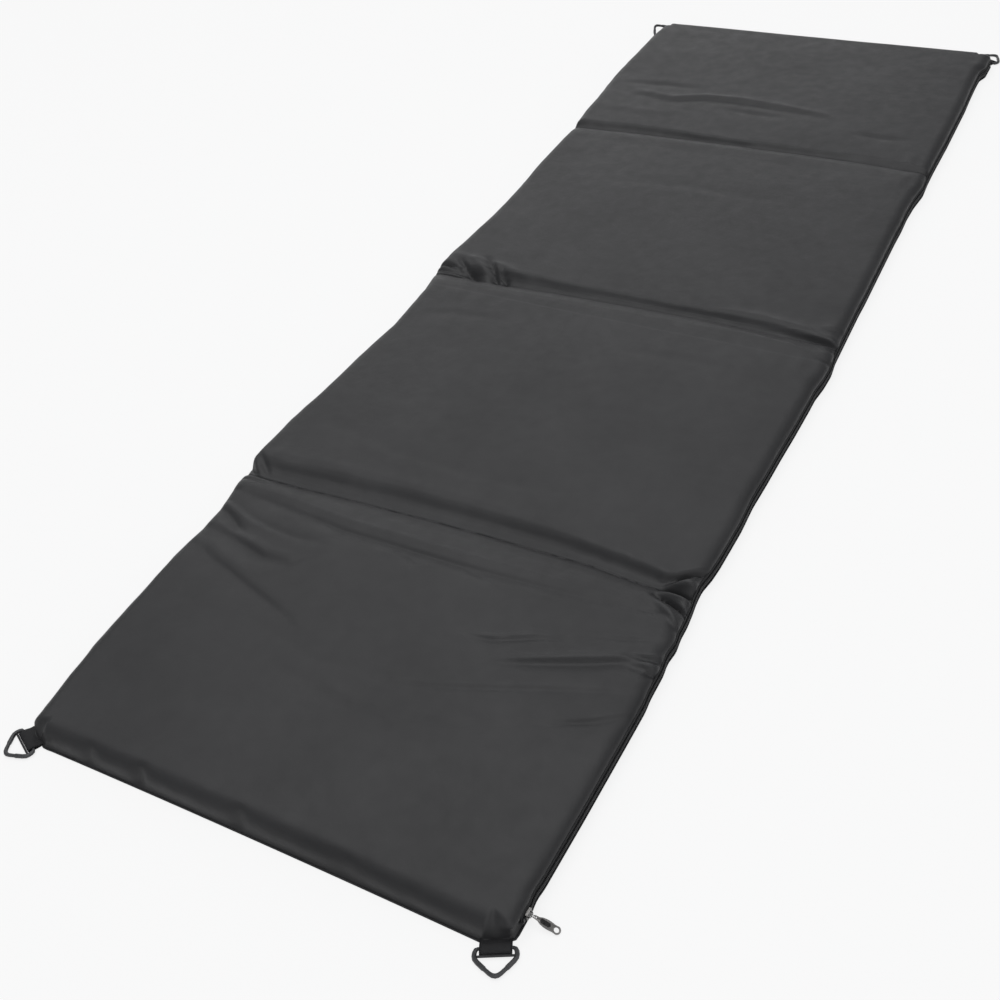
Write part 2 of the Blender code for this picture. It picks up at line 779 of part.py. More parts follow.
for name, carrier, side, end, splay, ring_raise in (
    ("near_left", panel_1, -1, -1, SPLAY, 0.0),
    ("near_right", panel_1, 1, -1, SPLAY, 0.0),
    ("far_left", panel_4, -1, 1, FAR_LEFT_SPLAY, FAR_LEFT_RAISE),
    ("far_right", panel_4, 1, 1, SPLAY, 0.0),
):
    outward = Vector((side * math.sin(splay), end * math.cos(splay), 0))
    arc_centre = Vector((side * (HALF_WIDTH - CORNER_RADIUS), end * (HALF_LENGTH - CORNER_RADIUS), 0))
    bar_place = arc_centre + outward * (CORNER_RADIUS + TAB_REACH)
    bar_place.z = bar_height
    heading = math.atan2(-outward.x, outward.y)
    corner = Matrix.Translation(bar_place) @ Matrix.Rotation(heading, 4, "Z")

    tab = plate(
        f"webbing_tab_{name}",
        [tab_outline, tab_eye],
        WEBBING_WIDTH,
        WEBBING,
        corner @ UPRIGHT,
    )
    tab = as_mesh(tab)
    seam = plate(
        f"corner seam cutter {name}",
        [
            rounded_outline(
                -HALF_WIDTH - FIT,
                HALF_WIDTH + FIT,
                -HALF_LENGTH - FIT,
                HALF_LENGTH + FIT,
                CORNER_RADIUS + FIT,
                CORNER_RADIUS + FIT,
            )
        ],
        PAD_CROWN,
        WEBBING,
        Matrix.Identity(4),
    )
    seam = as_mesh(seam)
    combine(tab, seam, "DIFFERENCE")
    carry(tab, carrier)
    carry(seam, carrier)

    ring_home = corner @ Matrix.Rotation(ring_tilt + ring_raise, 4, "X")
    ring = as_mesh(
        tube(
            f"corner_ring_{name}",
            ring_path,
            RING_RADIUS,
            RING_PLASTIC,
            ring_home,
            closed=True,
            shares=ring_thick,
        )
    )
    crossbar = as_mesh(
        tube(
            f"ring crossbar {name}",
            [(-ring_half, RING_CROSSBAR, 0), (ring_half, RING_CROSSBAR, 0)],
            RING_CROSSBAR_RADIUS,
            RING_PLASTIC,
            ring_home,
        )
    )
    combine(ring, crossbar, "UNION")
    carry(crossbar, ring)
    carry(ring, carrier)
    shade(ring)

bpy.context.view_layer.update()
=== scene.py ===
import math

import bpy
import numpy as np
from mathutils import Euler, Matrix, Vector


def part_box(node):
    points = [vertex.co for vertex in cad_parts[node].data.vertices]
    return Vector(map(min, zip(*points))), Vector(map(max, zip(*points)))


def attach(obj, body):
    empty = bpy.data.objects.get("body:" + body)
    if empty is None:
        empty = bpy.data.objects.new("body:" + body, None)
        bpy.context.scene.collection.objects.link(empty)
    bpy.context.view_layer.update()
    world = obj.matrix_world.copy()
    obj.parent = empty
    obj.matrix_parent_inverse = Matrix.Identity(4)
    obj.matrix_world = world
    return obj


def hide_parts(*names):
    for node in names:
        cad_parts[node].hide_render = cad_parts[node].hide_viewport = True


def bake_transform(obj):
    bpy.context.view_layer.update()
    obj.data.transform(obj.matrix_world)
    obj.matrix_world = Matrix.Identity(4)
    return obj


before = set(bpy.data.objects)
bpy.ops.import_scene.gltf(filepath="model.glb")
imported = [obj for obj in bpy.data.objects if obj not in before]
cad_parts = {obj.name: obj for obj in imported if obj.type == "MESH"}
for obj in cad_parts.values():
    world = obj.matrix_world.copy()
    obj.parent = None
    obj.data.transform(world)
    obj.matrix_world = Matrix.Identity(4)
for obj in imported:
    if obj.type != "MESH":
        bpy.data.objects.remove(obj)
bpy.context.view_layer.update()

scene = bpy.context.scene
bpy.ops.object.select_all(action="DESELECT")

MM = 0.001
LOW, HIGH = 0, 1
ACROSS, ALONG, UP = 0, 1, 2
FIT = 0.0003  # the gap that the solids keep to their neighbours


def box_side(node, corner, axis):
    """Where a node's box begins or ends along an axis, to a hundredth of a millimetre."""
    return round(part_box(node)[corner][axis], 5)


def halfway(first, second):
    return round((first + second) / 2, 5)


# The mat's sizes as the frame has them, in metres
HALF_WIDTH = box_side("cover_base_1", HIGH, ACROSS)
HALF_LENGTH = box_side("cover_base_4", HIGH, ALONG)
FOLDS = tuple(
    halfway(box_side(f"fold_web_{near}", LOW, ALONG), box_side(f"fold_web_{far}", HIGH, ALONG))
    for near, far in (("1", "1"), ("2_near", "2_far"), ("3", "3"))
)
WEB = round(box_side("fold_web_1", HIGH, ALONG) - box_side("fold_web_1", LOW, ALONG) + FIT, 5)
HEM = box_side("cover_top_1", LOW, UP)
ZIP_HEIGHT = halfway(
    box_side("zip_tape_lower_panel_1", HIGH, UP),
    box_side("zip_tape_upper_panel_1", LOW, UP),
)
CORNER = 0.034  # the corners' radius in plan


# Finishes

class Socket:
    """A shader socket. Python's operators on it add Math nodes."""

    def __init__(self, finish, link):
        self.finish = finish
        self.link = link

    def maths(self, operation, *others):
        return self.finish.add("ShaderNodeMath", {"operation": operation}, *others)

    def __add__(self, other):
        return self.maths("ADD", self, other)

    __radd__ = __add__

    def __mul__(self, other):
        return self.maths("MULTIPLY", self, other)

    __rmul__ = __mul__

    def sine(self):
        return self.maths("SINE", self)

    def within(self, low, high):
        """0 below low, 1 above high and an even rise between them."""
        return self.finish.add("ShaderNodeMapRange", {"clamp": True}, self, low, high, 0.0, 1.0)


class Finish:
    """The nodes of a material, or of the world, built up from none."""

    def __init__(self, owner):
        self.owner = owner
        self.owner.use_nodes = True
        self.tree = self.owner.node_tree
        self.tree.nodes.clear()

    def add(self, kind, settings=None, *values, out=0, **named):
        """A node with its settings, and its sockets' values or links by place or by name."""
        node = self.tree.nodes.new(kind)
        for name, value in (settings or {}).items():
            setattr(node, name, value)
        pairs = list(enumerate(values)) + [(key.replace("_", " "), v) for key, v in named.items()]
        for key, value in pairs:
            if value is None:
                continue
            socket = node.inputs[key]
            if isinstance(value, Socket):
                self.tree.links.new(value.link, socket)
            elif isinstance(value, tuple) and len(value) == 3 and len(socket.default_value) == 4:
                socket.default_value = (*value, 1.0)
            else:
                socket.default_value = value
        return Socket(self, node.outputs[out]) if node.outputs else None

    def axes(self, place):
        node = self.add("ShaderNodeSeparateXYZ", None, place).link.node
        return [Socket(self, output) for output in node.outputs]

    def object_place(self):
        return self.add("ShaderNodeTexCoord", None, out="Object")

    def cloth_place(self):
        return self.add("ShaderNodeUVMap", {"uv_map": "cloth"})

    def edges(self, low, high):
        return self.add("ShaderNodeNewGeometry", None, out="Pointiness").within(low, high)

    def noise(self, place, scale, detail, roughness=0.55):
        return self.add(
            "ShaderNodeTexNoise", None, Vector=place, Scale=scale, Detail=detail, Roughness=roughness
        )

    def blend(self, factor, first, second):
        """A mix of two colours. Inputs of other kinds lie between the node's factor and its colours."""
        other_kinds = [None] * 5
        return self.add("ShaderNodeMix", {"data_type": "RGBA"}, factor, *other_kinds, first, second, out=2)

    def bump(self, height, distance, strength=1.0, normal=None):
        return self.add(
            "ShaderNodeBump", None, Strength=strength, Distance=distance, Height=height, Normal=normal
        )

    def surface(self, colour, roughness, normal, metallic=0.0, specular=0.5):
        shader = self.add(
            "ShaderNodeBsdfPrincipled",
            None,
            Base_Color=colour,
            Roughness=roughness,
            Metallic=metallic,
            Specular_IOR_Level=specular,
            Normal=normal,
        )
        self.add("ShaderNodeOutputMaterial", None, shader)
        return self.owner


def woven_nylon(name, dark, light, roughness, yarn, weave, crumple=0.0, specular=0.42):
    """Coated plain weave: threads from the cloth's own map, slow changes of shade and rubbed crests.

    yarn is the pitch of the threads, weave how high they stand and crumple how deep the small creases are.
    """
    f = Finish(bpy.data.materials.new(name))
    cloth = f.cloth_place()
    across, along, _ = f.axes(cloth)
    turn = 2 * math.pi / yarn
    threads = (across * turn).sine() * (along * turn).sine()
    slub = f.noise(cloth, scale=900.0, detail=2.0)
    slow = f.noise(cloth, scale=5.5, detail=3.0)
    shade = slow.within(0.32, 0.68) * 0.75 + slub * 0.25
    worn = f.edges(0.512, 0.56) * 0.35
    colour = f.blend(worn, f.blend(shade, dark, light), tuple(1.5 * value for value in light))
    rough = f.noise(cloth, scale=38.0, detail=4.0).within(0.3, 0.7) * 0.1 + roughness
    normal = f.bump(threads * 0.5 + slub * 0.5, weave)
    if crumple:
        small = f.noise(cloth, scale=70.0, detail=4.0, roughness=0.6)
        large = f.noise(cloth, scale=17.0, detail=3.0, roughness=0.5)
        normal = f.bump(small * 0.45 + large * 1.5, crumple, 0.6, normal)
    return f.surface(colour, rough, normal, specular=specular)


def webbing_finish():
    """Flat black webbing: ribs across it, a twill that runs askew, and fuzz."""
    f = Finish(bpy.data.materials.new("black_webbing"))
    cloth = f.cloth_place()
    across, along, _ = f.axes(cloth)
    ribs = (along * (2 * math.pi / 0.0016)).sine()
    twill = ((across + along) * (2 * math.pi / 0.0032)).sine()
    height = ribs * 0.6 + twill * 0.4
    fuzz = f.noise(cloth, scale=700.0, detail=3.0)
    # painted shade and highlight: the ribs' and twill's low parts are painted darker and their high parts
    # lighter; the fuzz adds a random tone
    shade = height.within(-1.0, 1.0) * 0.6 + fuzz * 0.4
    colour = f.blend(shade, (0.003, 0.003, 0.0034), (0.020, 0.020, 0.022))
    return f.surface(colour, 0.66, f.bump(height + fuzz * 0.5, 0.00016), specular=0.3)


def moulded_plastic():
    """Dark grey moulded plastic with a satin skin, and edges painted lighter as a painted highlight."""
    f = Finish(bpy.data.materials.new("dark_moulded_plastic"))
    place = f.object_place()
    skin = f.noise(place, scale=1400.0, detail=2.0)
    flow = f.noise(place, scale=60.0, detail=3.0)
    base = f.blend(flow.within(0.35, 0.65), (0.012, 0.0122, 0.0132), (0.022, 0.0223, 0.024))
    # painted highlight: the edges are painted lighter
    colour = f.blend(f.edges(0.5, 0.56) * 0.35, base, (0.10, 0.102, 0.107))
    rough = flow.within(0.3, 0.7) * 0.12 + 0.34
    return f.surface(colour, rough, f.bump(skin, 0.00003), specular=0.36)


def plated_metal():
    """Dark plated casting: faces brushed along X, and edges that hands have rubbed bright."""
    f = Finish(bpy.data.materials.new("gunmetal_plating"))
    place = f.object_place()
    streaks = f.add("ShaderNodeMapping", None, Vector=place, Scale=(260.0, 2600.0, 2600.0))
    brushed = f.noise(streaks, scale=1.0, detail=3.0)
    cast = f.noise(place, scale=420.0, detail=4.0)
    base = f.blend(cast.within(0.35, 0.65), (0.014, 0.0137, 0.014), (0.032, 0.0313, 0.0313))
    colour = f.blend(f.edges(0.5, 0.57) * 0.7, base, (0.32, 0.312, 0.304))
    rough = brushed * 0.16 + 0.26
    return f.surface(colour, rough, f.bump(brushed + cast, 0.00002), metallic=1.0)


def coil_plastic():
    """Black plastic of the zip's coils and stops, with a fine grain."""
    f = Finish(bpy.data.materials.new("black_zip_coil"))
    place = f.object_place()
    grain = f.noise(place, scale=900.0, detail=2.0)
    colour = f.blend(grain.within(0.3, 0.7), (0.010, 0.010, 0.011), (0.024, 0.024, 0.026))
    return f.surface(colour, grain * 0.12 + 0.36, f.bump(grain, 0.00002), specular=0.4)


def foam_cells():
    """Grey foam with open cells about a millimetre wide."""
    f = Finish(bpy.data.materials.new("open_cell_foam"))
    place = f.object_place()
    cells = f.add("ShaderNodeTexVoronoi", {"feature": "DISTANCE_TO_EDGE"}, Vector=place, Scale=900.0)
    colour = f.blend(cells.within(0.0, 0.3), (0.30, 0.30, 0.28), (0.46, 0.46, 0.44))
    return f.surface(colour, 0.95, f.bump(cells.within(0.0, 0.4), 0.0003), specular=0.2)


def thread_finish():
    """Black sewing thread with a slight twist of light and dark."""
    f = Finish(bpy.data.materials.new("bonded_nylon_thread"))
    place = f.object_place()
    twist = f.noise(place, scale=1800.0, detail=2.0)
    colour = f.blend(twist.within(0.35, 0.65), (0.007, 0.007, 0.008), (0.028, 0.028, 0.030))
    return f.surface(colour, twist * 0.1 + 0.5, f.bump(twist, 0.00004), specular=0.4)


NYLON = woven_nylon(
    "satin_black_nylon",
    dark=(0.0215, 0.0215, 0.0225),
    light=(0.031, 0.031, 0.0322),
    roughness=0.44,
    yarn=0.0009,
    weave=0.00005,
    crumple=0.0010,
    specular=0.31,
)
BASE_NYLON = woven_nylon(
    "matt_black_base_nylon",
    dark=(0.012, 0.012, 0.013),
    light=(0.020, 0.020, 0.022),
    roughness=0.62,
    yarn=0.0012,
    weave=0.00009,
    crumple=0.0003,
)
BINDING = woven_nylon(
    "folded_seam_binding",
    dark=(0.007, 0.007, 0.008),
    light=(0.018, 0.018, 0.019),
    roughness=0.6,
    yarn=0.0008,
    weave=0.00006,
    specular=0.3,
)
TAPE = woven_nylon(
    "woven_zip_tape",
    dark=(0.010, 0.010, 0.0105),
    light=(0.022, 0.022, 0.023),
    roughness=0.68,
    yarn=0.0011,
    weave=0.00012,
    specular=0.3,
)
WEBBING = webbing_finish()
PLASTIC = moulded_plastic()
GUNMETAL = plated_metal()
COIL = coil_plastic()
FOAM = foam_cells()
THREAD = thread_finish()


# Small helpers

def smooth(share):
    """An even share from 0 to 1 with its two ends eased."""
    share = np.clip(share, 0.0, 1.0)
    return share * share * (3 - 2 * share)


def run_along(points):
    """How far along a line of points each of them lies."""
    steps = np.linalg.norm(np.diff(points, axis=0), axis=1)
    return np.concatenate([[0], np.cumsum(steps)])


def rumple(x, y, size_x, size_y, seed):
    """Soft random relief from -1 to 1, the same on each run."""
    knots = 64
    middle = knots / 2 - 1
    lattice = np.random.default_rng(seed).uniform(-1, 1, (knots, knots))
    u = x / size_x + middle
    v = y / size_y + middle
    i = np.floor(u).astype(int)
    j = np.floor(v).astype(int)
    a = smooth(u - i)
    b = smooth(v - j)

    def pick(p, q):
        return lattice[p % knots, q % knots]

    low = pick(i, j) * (1 - a) + pick(i + 1, j) * a
    high = pick(i, j + 1) * (1 - a) + pick(i + 1, j + 1) * a
    return low * (1 - b) + high * b


def mesh_piece(name, points, faces, material, cloth=None):
    """A piece from its points and faces. cloth gives each point's place on the flat cloth."""
    mesh = bpy.data.meshes.new(name)
    mesh.from_pydata([tuple(p) for p in points], [], faces)
    if cloth is not None:
        layer = mesh.uv_layers.new(name="cloth")
        corner = np.zeros(len(mesh.loops), int)
        mesh.loops.foreach_get("vertex_index", corner)
        layer.data.foreach_set("uv", np.asarray(cloth, float)[corner].ravel())
    mesh.materials.append(material)
    mesh.shade_smooth()
    mesh.update()
    piece = bpy.data.objects.new(name, mesh)
    scene.collection.objects.link(piece)
    return piece


def pick_only(piece):
    """Selects one piece alone and makes it the active one."""
    bpy.ops.object.select_all(action="DESELECT")
    bpy.context.view_layer.objects.active = piece
    piece.select_set(True)


def grow_thickness(piece, thickness, offset=-1.0):
    """Gives a sheet its thickness: behind its face, or with an offset of 0 on both sides."""
    solid = piece.modifiers.new("cloth thickness", "SOLIDIFY")
    solid.thickness = thickness
    solid.offset = offset
    pick_only(piece)
    bpy.ops.object.modifier_apply(modifier=solid.name)
    piece.select_set(False)


def crisp_rim(piece):
    """Keeps the shading of a cloth's face from rounding over at its cut edge."""
    pick_only(piece)
    bpy.ops.object.shade_smooth_by_angle(angle=math.radians(65))
    piece.select_set(False)


def grid_faces(rows, columns):
    """The quads of a grid whose points come row by row."""
    return [
        (a, a + 1, a + columns + 1, a + columns)
        for j in range(rows - 1)
        for a in range(j * columns, j * columns + columns - 1)
    ]


def strip_along(name, path, section, material):
    """A section (outward, up) swept along a level path. Outward is to the right of the path's run."""
    path = np.asarray(path, float)
    section = np.asarray(section, float)
    tangent = np.gradient(path, axis=0)
    tangent[:, 2] = 0
    tangent /= np.linalg.norm(tangent, axis=1)[:, None]
    outward = np.stack([tangent[:, 1], -tangent[:, 0], np.zeros(len(path))], 1)
    run = run_along(path)
    loop = len(section)
    around = run_along(np.vstack([section, section[:1]]))
    points, cloth, faces = [], [], []
    for k in range(len(path)):
        for m in range(loop):
            points.append(path[k] + outward[k] * section[m, 0] + np.array([0, 0, section[m, 1]]))
            cloth.append((around[m], run[k]))
    for k in range(len(path) - 1):
        for m in range(loop):
            n = (m + 1) % loop
            a, b = k * loop, (k + 1) * loop
            faces.append((a + m, b + m, b + n, a + n))
    faces.append(tuple(range(loop)))
    faces.append(tuple(reversed(range((len(path) - 1) * loop, len(path) * loop))))
    return mesh_piece(name, points, faces, material, cloth)


# The cloth's relief

def eased(table, blur):
    """A run through a table of (place, value) rows with its corners blurred."""
    steps = 800
    places, values = np.array(table, float).T
    dense = np.linspace(places[0], places[-1], steps + 1)
    run = np.interp(dense, places, values)
    reach = max(1, int(steps / 2 * blur / (places[-1] - places[0])))
    window = np.hanning(2 * reach + 3)[1:-1]
    padded = np.concatenate([2 * run[0] - run[reach:0:-1], run, 2 * run[-1] - run[-2 : -reach - 2 : -1]])
    run = np.convolve(padded, window / window.sum(), "valid")
    return dense, run


def along(place, table, blur=55.0):
    """Value at a place in metres through a table in millimetres."""
    dense, run = eased(table, blur)
    return np.interp(place / MM, dense, run) * MM


# The walls of a fold's channel: rows of (share of the way from crest to stitches, share of the drop)
SOFT_NEAR = ((0, 0), (0.25, 0.03), (0.5, 0.2), (0.75, 0.5), (0.92, 0.72), (1, 0.8))
SOFT_FAR = ((0, 0), (0.1, 0.03), (0.25, 0.22), (0.45, 0.6), (0.62, 0.8), (0.8, 0.86), (1, 0.84))
SHORT_NEAR = ((0, 0), (0.3, 0.05), (0.6, 0.22), (0.85, 0.42), (1, 0.55))
STEEP_FAR = ((0, 0), (0.12, 0.04), (0.3, 0.32), (0.5, 0.68), (0.7, 0.86), (0.85, 0.9), (1, 0.9))

# One channel per fold, with rows of (place across the mat, value) in millimetres. stitch, near and far are
# measured from the fold's middle line: to the stitches, to where the near pad's crest ends and to where the
# far pad's begins. floor is the height of the channel's floor.
CHANNELS = (
    dict(
        fold=FOLDS[0],
        stitch=((-400, -5), (-350, -6), (-260, 0), (-100, 8), (60, 12), (220, 13), (330, 6), (400, 4)),
        near=((-400, -34), (-325, -38), (-175, -50), (60, -50), (250, -46), (330, -40), (400, -34)),
        far=((-400, 38), (-300, 46), (-230, 50), (-25, 57), (120, 55), (230, 50), (330, 40), (400, 28)),
        floor=((-400, 20), (-372, 18), (-330, 18), (-200, 18), (200, 18), (330, 17), (372, 17), (400, 20)),
        near_section=SOFT_NEAR,
        far_section=SOFT_FAR,
    ),
    dict(
        fold=FOLDS[1],
        stitch=((-400, 8), (-300, 13), (-200, 18), (60, 24), (190, 26), (330, 22), (400, 18)),
        near=(
            (-400, -40), (-343, -27), (-232, -20), (-150, -20),
            (50, -16), (200, -18), (330, -22), (400, -40),
        ),
        far=(
            (-400, 34), (-345, 42), (-297, 50), (-220, 52), (-100, 50),
            (190, 48), (258, 50), (336, 40), (400, 26),
        ),
        floor=((-400, 18), (-350, 14), (-280, 14), (-200, 16), (0, 20), (300, 20), (350, 20), (400, 22)),
        near_section=SHORT_NEAR,
        far_section=STEEP_FAR,
    ),
    dict(
        fold=FOLDS[2],
        stitch=((-400, 10), (-250, 20), (0, 22), (250, 18), (400, 8)),
        near=((-400, -26), (-250, -10), (-50, -4), (150, -10), (300, -22), (400, -34)),
        far=((-400, 38), (-270, 46), (-150, 44), (-50, 40), (150, 40), (289, 40), (400, 26)),
        floor=((-400, 21), (-340, 20), (-100, 20), (0, 22), (150, 25), (300, 26), (400, 26)),
        near_section=SHORT_NEAR,
        far_section=STEEP_FAR,
    ),
)

# Soft ridges (above 0) and creases (below 0), in millimetres: height, half-width on the right and on the
# left of the line as it runs, and the line's points
RELIEF_STRENGTH = 1.2
RELIEF = (
    # hollow and crest that run beside the first fold
    (-4.0, 14, 6, (-385, -672), (-322, -677), (-278, -681), (-163, -691), (29, -690), (200, -684),
        (320, -676)),
    (2.4, 9, 9, (-372, -660), (-325, -657), (-273, -660), (-175, -668), (29, -668), (200, -664),
        (330, -656)),
    (1.5, 12, 14, (-395, -574), (-300, -566), (-150, -560), (-25, -556), (120, -560), (230, -566),
        (340, -580)),
    # fan of pulls at the left of the near panel
    (-4.0, 11, 6, (-392, -718), (-370, -728), (-346, -741), (-318, -758)),
    (3.6, 9, 8, (-392, -706), (-360, -716), (-322, -730), (-260, -742)),
    (-3.0, 13, 7, (-377, -700), (-351, -712), (-322, -722), (-288, -728), (-234, -732), (-190, -728)),
    (-3.4, 16, 8, (-385, -764), (-327, -773), (-253, -791), (-204, -786), (-176, -756)),
    (3.0, 14, 9, (-380, -752), (-320, -764), (-250, -776), (-205, -770)),
    (-3.4, 20, 7, (-366, -806), (-325, -824), (-259, -844), (-134, -884)),
    (1.8, 22, 12, (-360, -792), (-300, -812), (-240, -830)),
    # long pulls at the right of the near panel
    (-3.0, 7, 2.6, (127, -810), (165, -804), (190, -792), (232, -772), (268, -764)),
    (2.4, 6, 4, (140, -802), (176, -794), (228, -764)),
    (-4.9, 13, 4, (183, -840), (240, -818), (301, -792), (360, -764), (404, -744)),
    (4.2, 12, 7, (205, -822), (270, -796), (330, -768), (392, -738)),
    (-3.2, 15, 5, (60, -925), (127, -912), (240, -868), (348, -826), (392, -812)),
    (-4.0, 12, 4, (309, -902), (360, -874), (396, -846)),
    (-2.3, 9, 3, (300, -742), (345, -728), (392, -712)),
    (-5.2, 7, 4, (352, -756), (378, -750), (402, -742)),
    (-6.1, 7, 5, (366, -770), (391, -770), (414, -764)),
    (4.8, 6, 6, (360, -762), (392, -757), (412, -753)),
    (-2.3, 6, 3, (338, -671), (356, -668), (374, -668)),
    (-1.7, 8, 3, (60, -690), (84, -694), (110, -704)),
    (-1.7, 9, 2.4, (-60, -700), (-36, -708), (-16, -716)),
    (-2.6, 18, 7, (-120, -960), (40, -985), (180, -960), (300, -910)),
    (-1.4, 12, 24, (-200, -900), (-60, -930), (60, -925)),
    # cloth gathered at the right end of the first fold
    (-12.0, 6, 4, (352, -596), (372, -586), (393, -568), (408, -560)),
    (8.0, 6, 5, (356, -604), (384, -597), (404, -590)),
    (-9.0, 5, 4, (350, -612), (384, -613), (406, -609)),
    (7.5, 5, 5, (352, -620), (386, -625), (405, -628)),
    (-13.0, 6, 4, (346, -630), (376, -638), (398, -648), (412, -656)),
    (5.5, 6, 8, (352, -646), (380, -662), (398, -680)),
    (-3.5, 6, 4, (380, -668), (394, -680), (404, -690)),
    # and at its left end
    (-5.0, 5, 4, (-412, -594), (-396, -606), (-380, -622)),
    (-3.0, 5, 4, (-392, -576), (-378, -590), (-362, -612)),
    (2.5, 5, 5, (-404, -586), (-388, -600), (-372, -618)),
    (-2.6, 5, 3, (-398, -646), (-372, -640), (-340, -640)),
    (2.0, 4, 4, (-402, -636), (-376, -632), (-345, -632)),
    # cloth gathered at the left end of the middle fold
    (-9.5, 6, 5, (-412, 30), (-384, 38), (-359, 36), (-346, 30)),
    (6.5, 6, 5, (-404, 13), (-384, 14), (-351, 16), (-314, 13)),
    (-9.0, 6, 4, (-362, 57), (-340, 38), (-319, 24), (-306, 12)),
    (4.6, 7, 6, (-340, 66), (-308, 40), (-282, 12)),
    (-9.0, 5, 4, (-316, 78), (-286, 44), (-262, 12)),
    (4.4, 5, 5, (-292, 62), (-262, 26)),
    (-7.5, 5, 4, (-276, 52), (-253, 27), (-241, 10)),
    (2.4, 9, 9, (-388, 72), (-345, 68), (-297, 64), (-242, 50), (-200, 40)),
    # and at its right end
    (2.4, 8, 9, (180, 54), (258, 56), (336, 46), (392, 34)),
    (2.6, 16, 7, (150, 6), (258, 2), (336, -6), (392, -14)),
    (3.0, 8, 7, (384, -8), (400, -6), (414, -2)),
    (-4.5, 7, 7, (384, -30), (396, -30), (414, -38)),
    (-2.0, 10, 6, (376, 51), (400, 62)),
    (1.6, 7, 9, (362, 58), (392, 66)),
    # long soft waves on the panels beyond the first fold
    (3.0, 12, 9, (-313, 816), (-224, 802), (-150, 825), (-55, 829), (42, 819), (137, 805)),
    (-3.4, 15, 6, (-300, 800), (-224, 788), (-150, 812), (-55, 815), (42, 806), (137, 793)),
    (-2.4, 14, 6, (222, 741), (279, 738), (330, 742)),
    (-2.0, 16, 7, (-100, 776), (0, 772), (57, 773)),
    (-2.2, 16, 7, (-345, 852), (-260, 860), (-180, 856)),
    (1.4, 12, 20, (-350, 730), (-280, 726), (-200, 732)),
    (-1.4, 16, 8, (-350, -128), (-290, -112), (-200, -104)),
    (-1.3, 18, 8, (60, -120), (170, -104), (270, -112)),
    (1.4, 10, 20, (330, -70), (372, -92), (394, -128)),
    (-1.2, 10, 22, (-340, -470), (-180, -500), (20, -505), (200, -480)),
    (-1.0, 12, 24, (-200, 420), (-40, 440), (140, 430)),
)


def relief_line(x, y, row):
    """One soft ridge or crease. Its two flanks have their own widths, and it dies away at its ends."""
    height, on_right, on_left = (value * MM for value in row[:3])
    points = np.array(row[3:], float) * MM
    reach = 3 * max(on_right, on_left)
    low, high = points.min(0) - reach, points.max(0) + reach
    inside = (x > low[0]) & (x < high[0]) & (y > low[1]) & (y < high[1])
    result = np.zeros(x.shape)
    if not inside.any():
        return result
    px, py = x[inside], y[inside]
    starts = run_along(points)
    lengths = np.linalg.norm(np.diff(points, axis=0), axis=1)
    best = np.full(px.shape, 1e9)
    side = np.zeros(px.shape)
    place = np.zeros(px.shape)
    for start, length, a, b in zip(starts, lengths, points, points[1:]):
        dx, dy = (b - a) / length
        run = np.clip((px - a[0]) * dx + (py - a[1]) * dy, 0, length)
        away_x = px - a[0] - run * dx
        away_y = py - a[1] - run * dy
        distance = np.hypot(away_x, away_y)
        nearer = distance < best
        best = np.where(nearer, distance, best)
        side = np.where(nearer, dx * away_y - dy * away_x, side)
        place = np.where(nearer, start + run, place)
    fade = np.sin(np.pi * (0.08 + 0.84 * place / starts[-1])) ** 0.8
    width = np.where(side > 0, on_left, on_right)
    result[inside] = height * fade * np.exp(-((best / width) ** 1.6))
    return result


def fold_wander(x, number):
    """How far a fold's lines wander, in long waves and short ones."""
    zero = np.zeros_like(x)
    long_waves = 0.0022 * rumple(x, zero, 0.048, 1.0, 11 + number)
    return long_waves + 0.0010 * rumple(x, zero, 0.018, 1.0, 15 + number)


def stitch_line(x, number):
    """How far a fold's stitch line lies from the fold's middle line."""
    return along(x, CHANNELS[number]["stitch"]) + 0.35 * fold_wander(x, number)


def fold_drop(x, y, channel, number):
    """Each point's share of the drop into a fold, the floor, and its places from fold and stitches."""
    d = y - channel["fold"]
    wander = fold_wander(x, number)
    stitch = stitch_line(x, number)
    near = along(x, channel["near"]) + wander
    far = along(x, channel["far"]) - wander
    near_dense, near_run = eased(channel["near_section"], 0.12)
    far_dense, far_run = eased(channel["far_section"], 0.1)
    near_share = np.interp((d - near) / (stitch - near), near_dense, near_run)
    far_share = np.interp((far - d) / (far - stitch), far_dense, far_run)
    near_share = np.where(d < near, 0.0, near_share)
    far_share = np.where(d > far, 0.0, far_share)
    share = np.where(d < stitch, near_share, far_share)
    pull = np.abs(d - stitch)
    share = share + (1 - share) * np.exp(-((pull / 0.0019) ** 1.3))
    return np.clip(share, 0, 1), along(x, channel["floor"], 30.0), d, pull


PAD_HEIGHT = 0.0338  # the cover's top at the pads' rims
PAD_CROWN = 0.0026  # and how much higher it is at their middles
FOAM_TOP = 0.0302  # the cloth stays over this height where there is foam
OVER_FOAM = 0.15  # share of a crease that is left below that height
FOAM_ROOM = 0.012  # from the mat's edge to the foam
FOAM_TO_FOLD = 0.0512  # from a fold's middle line to the foam
LEAST_HEIGHT = 0.0032


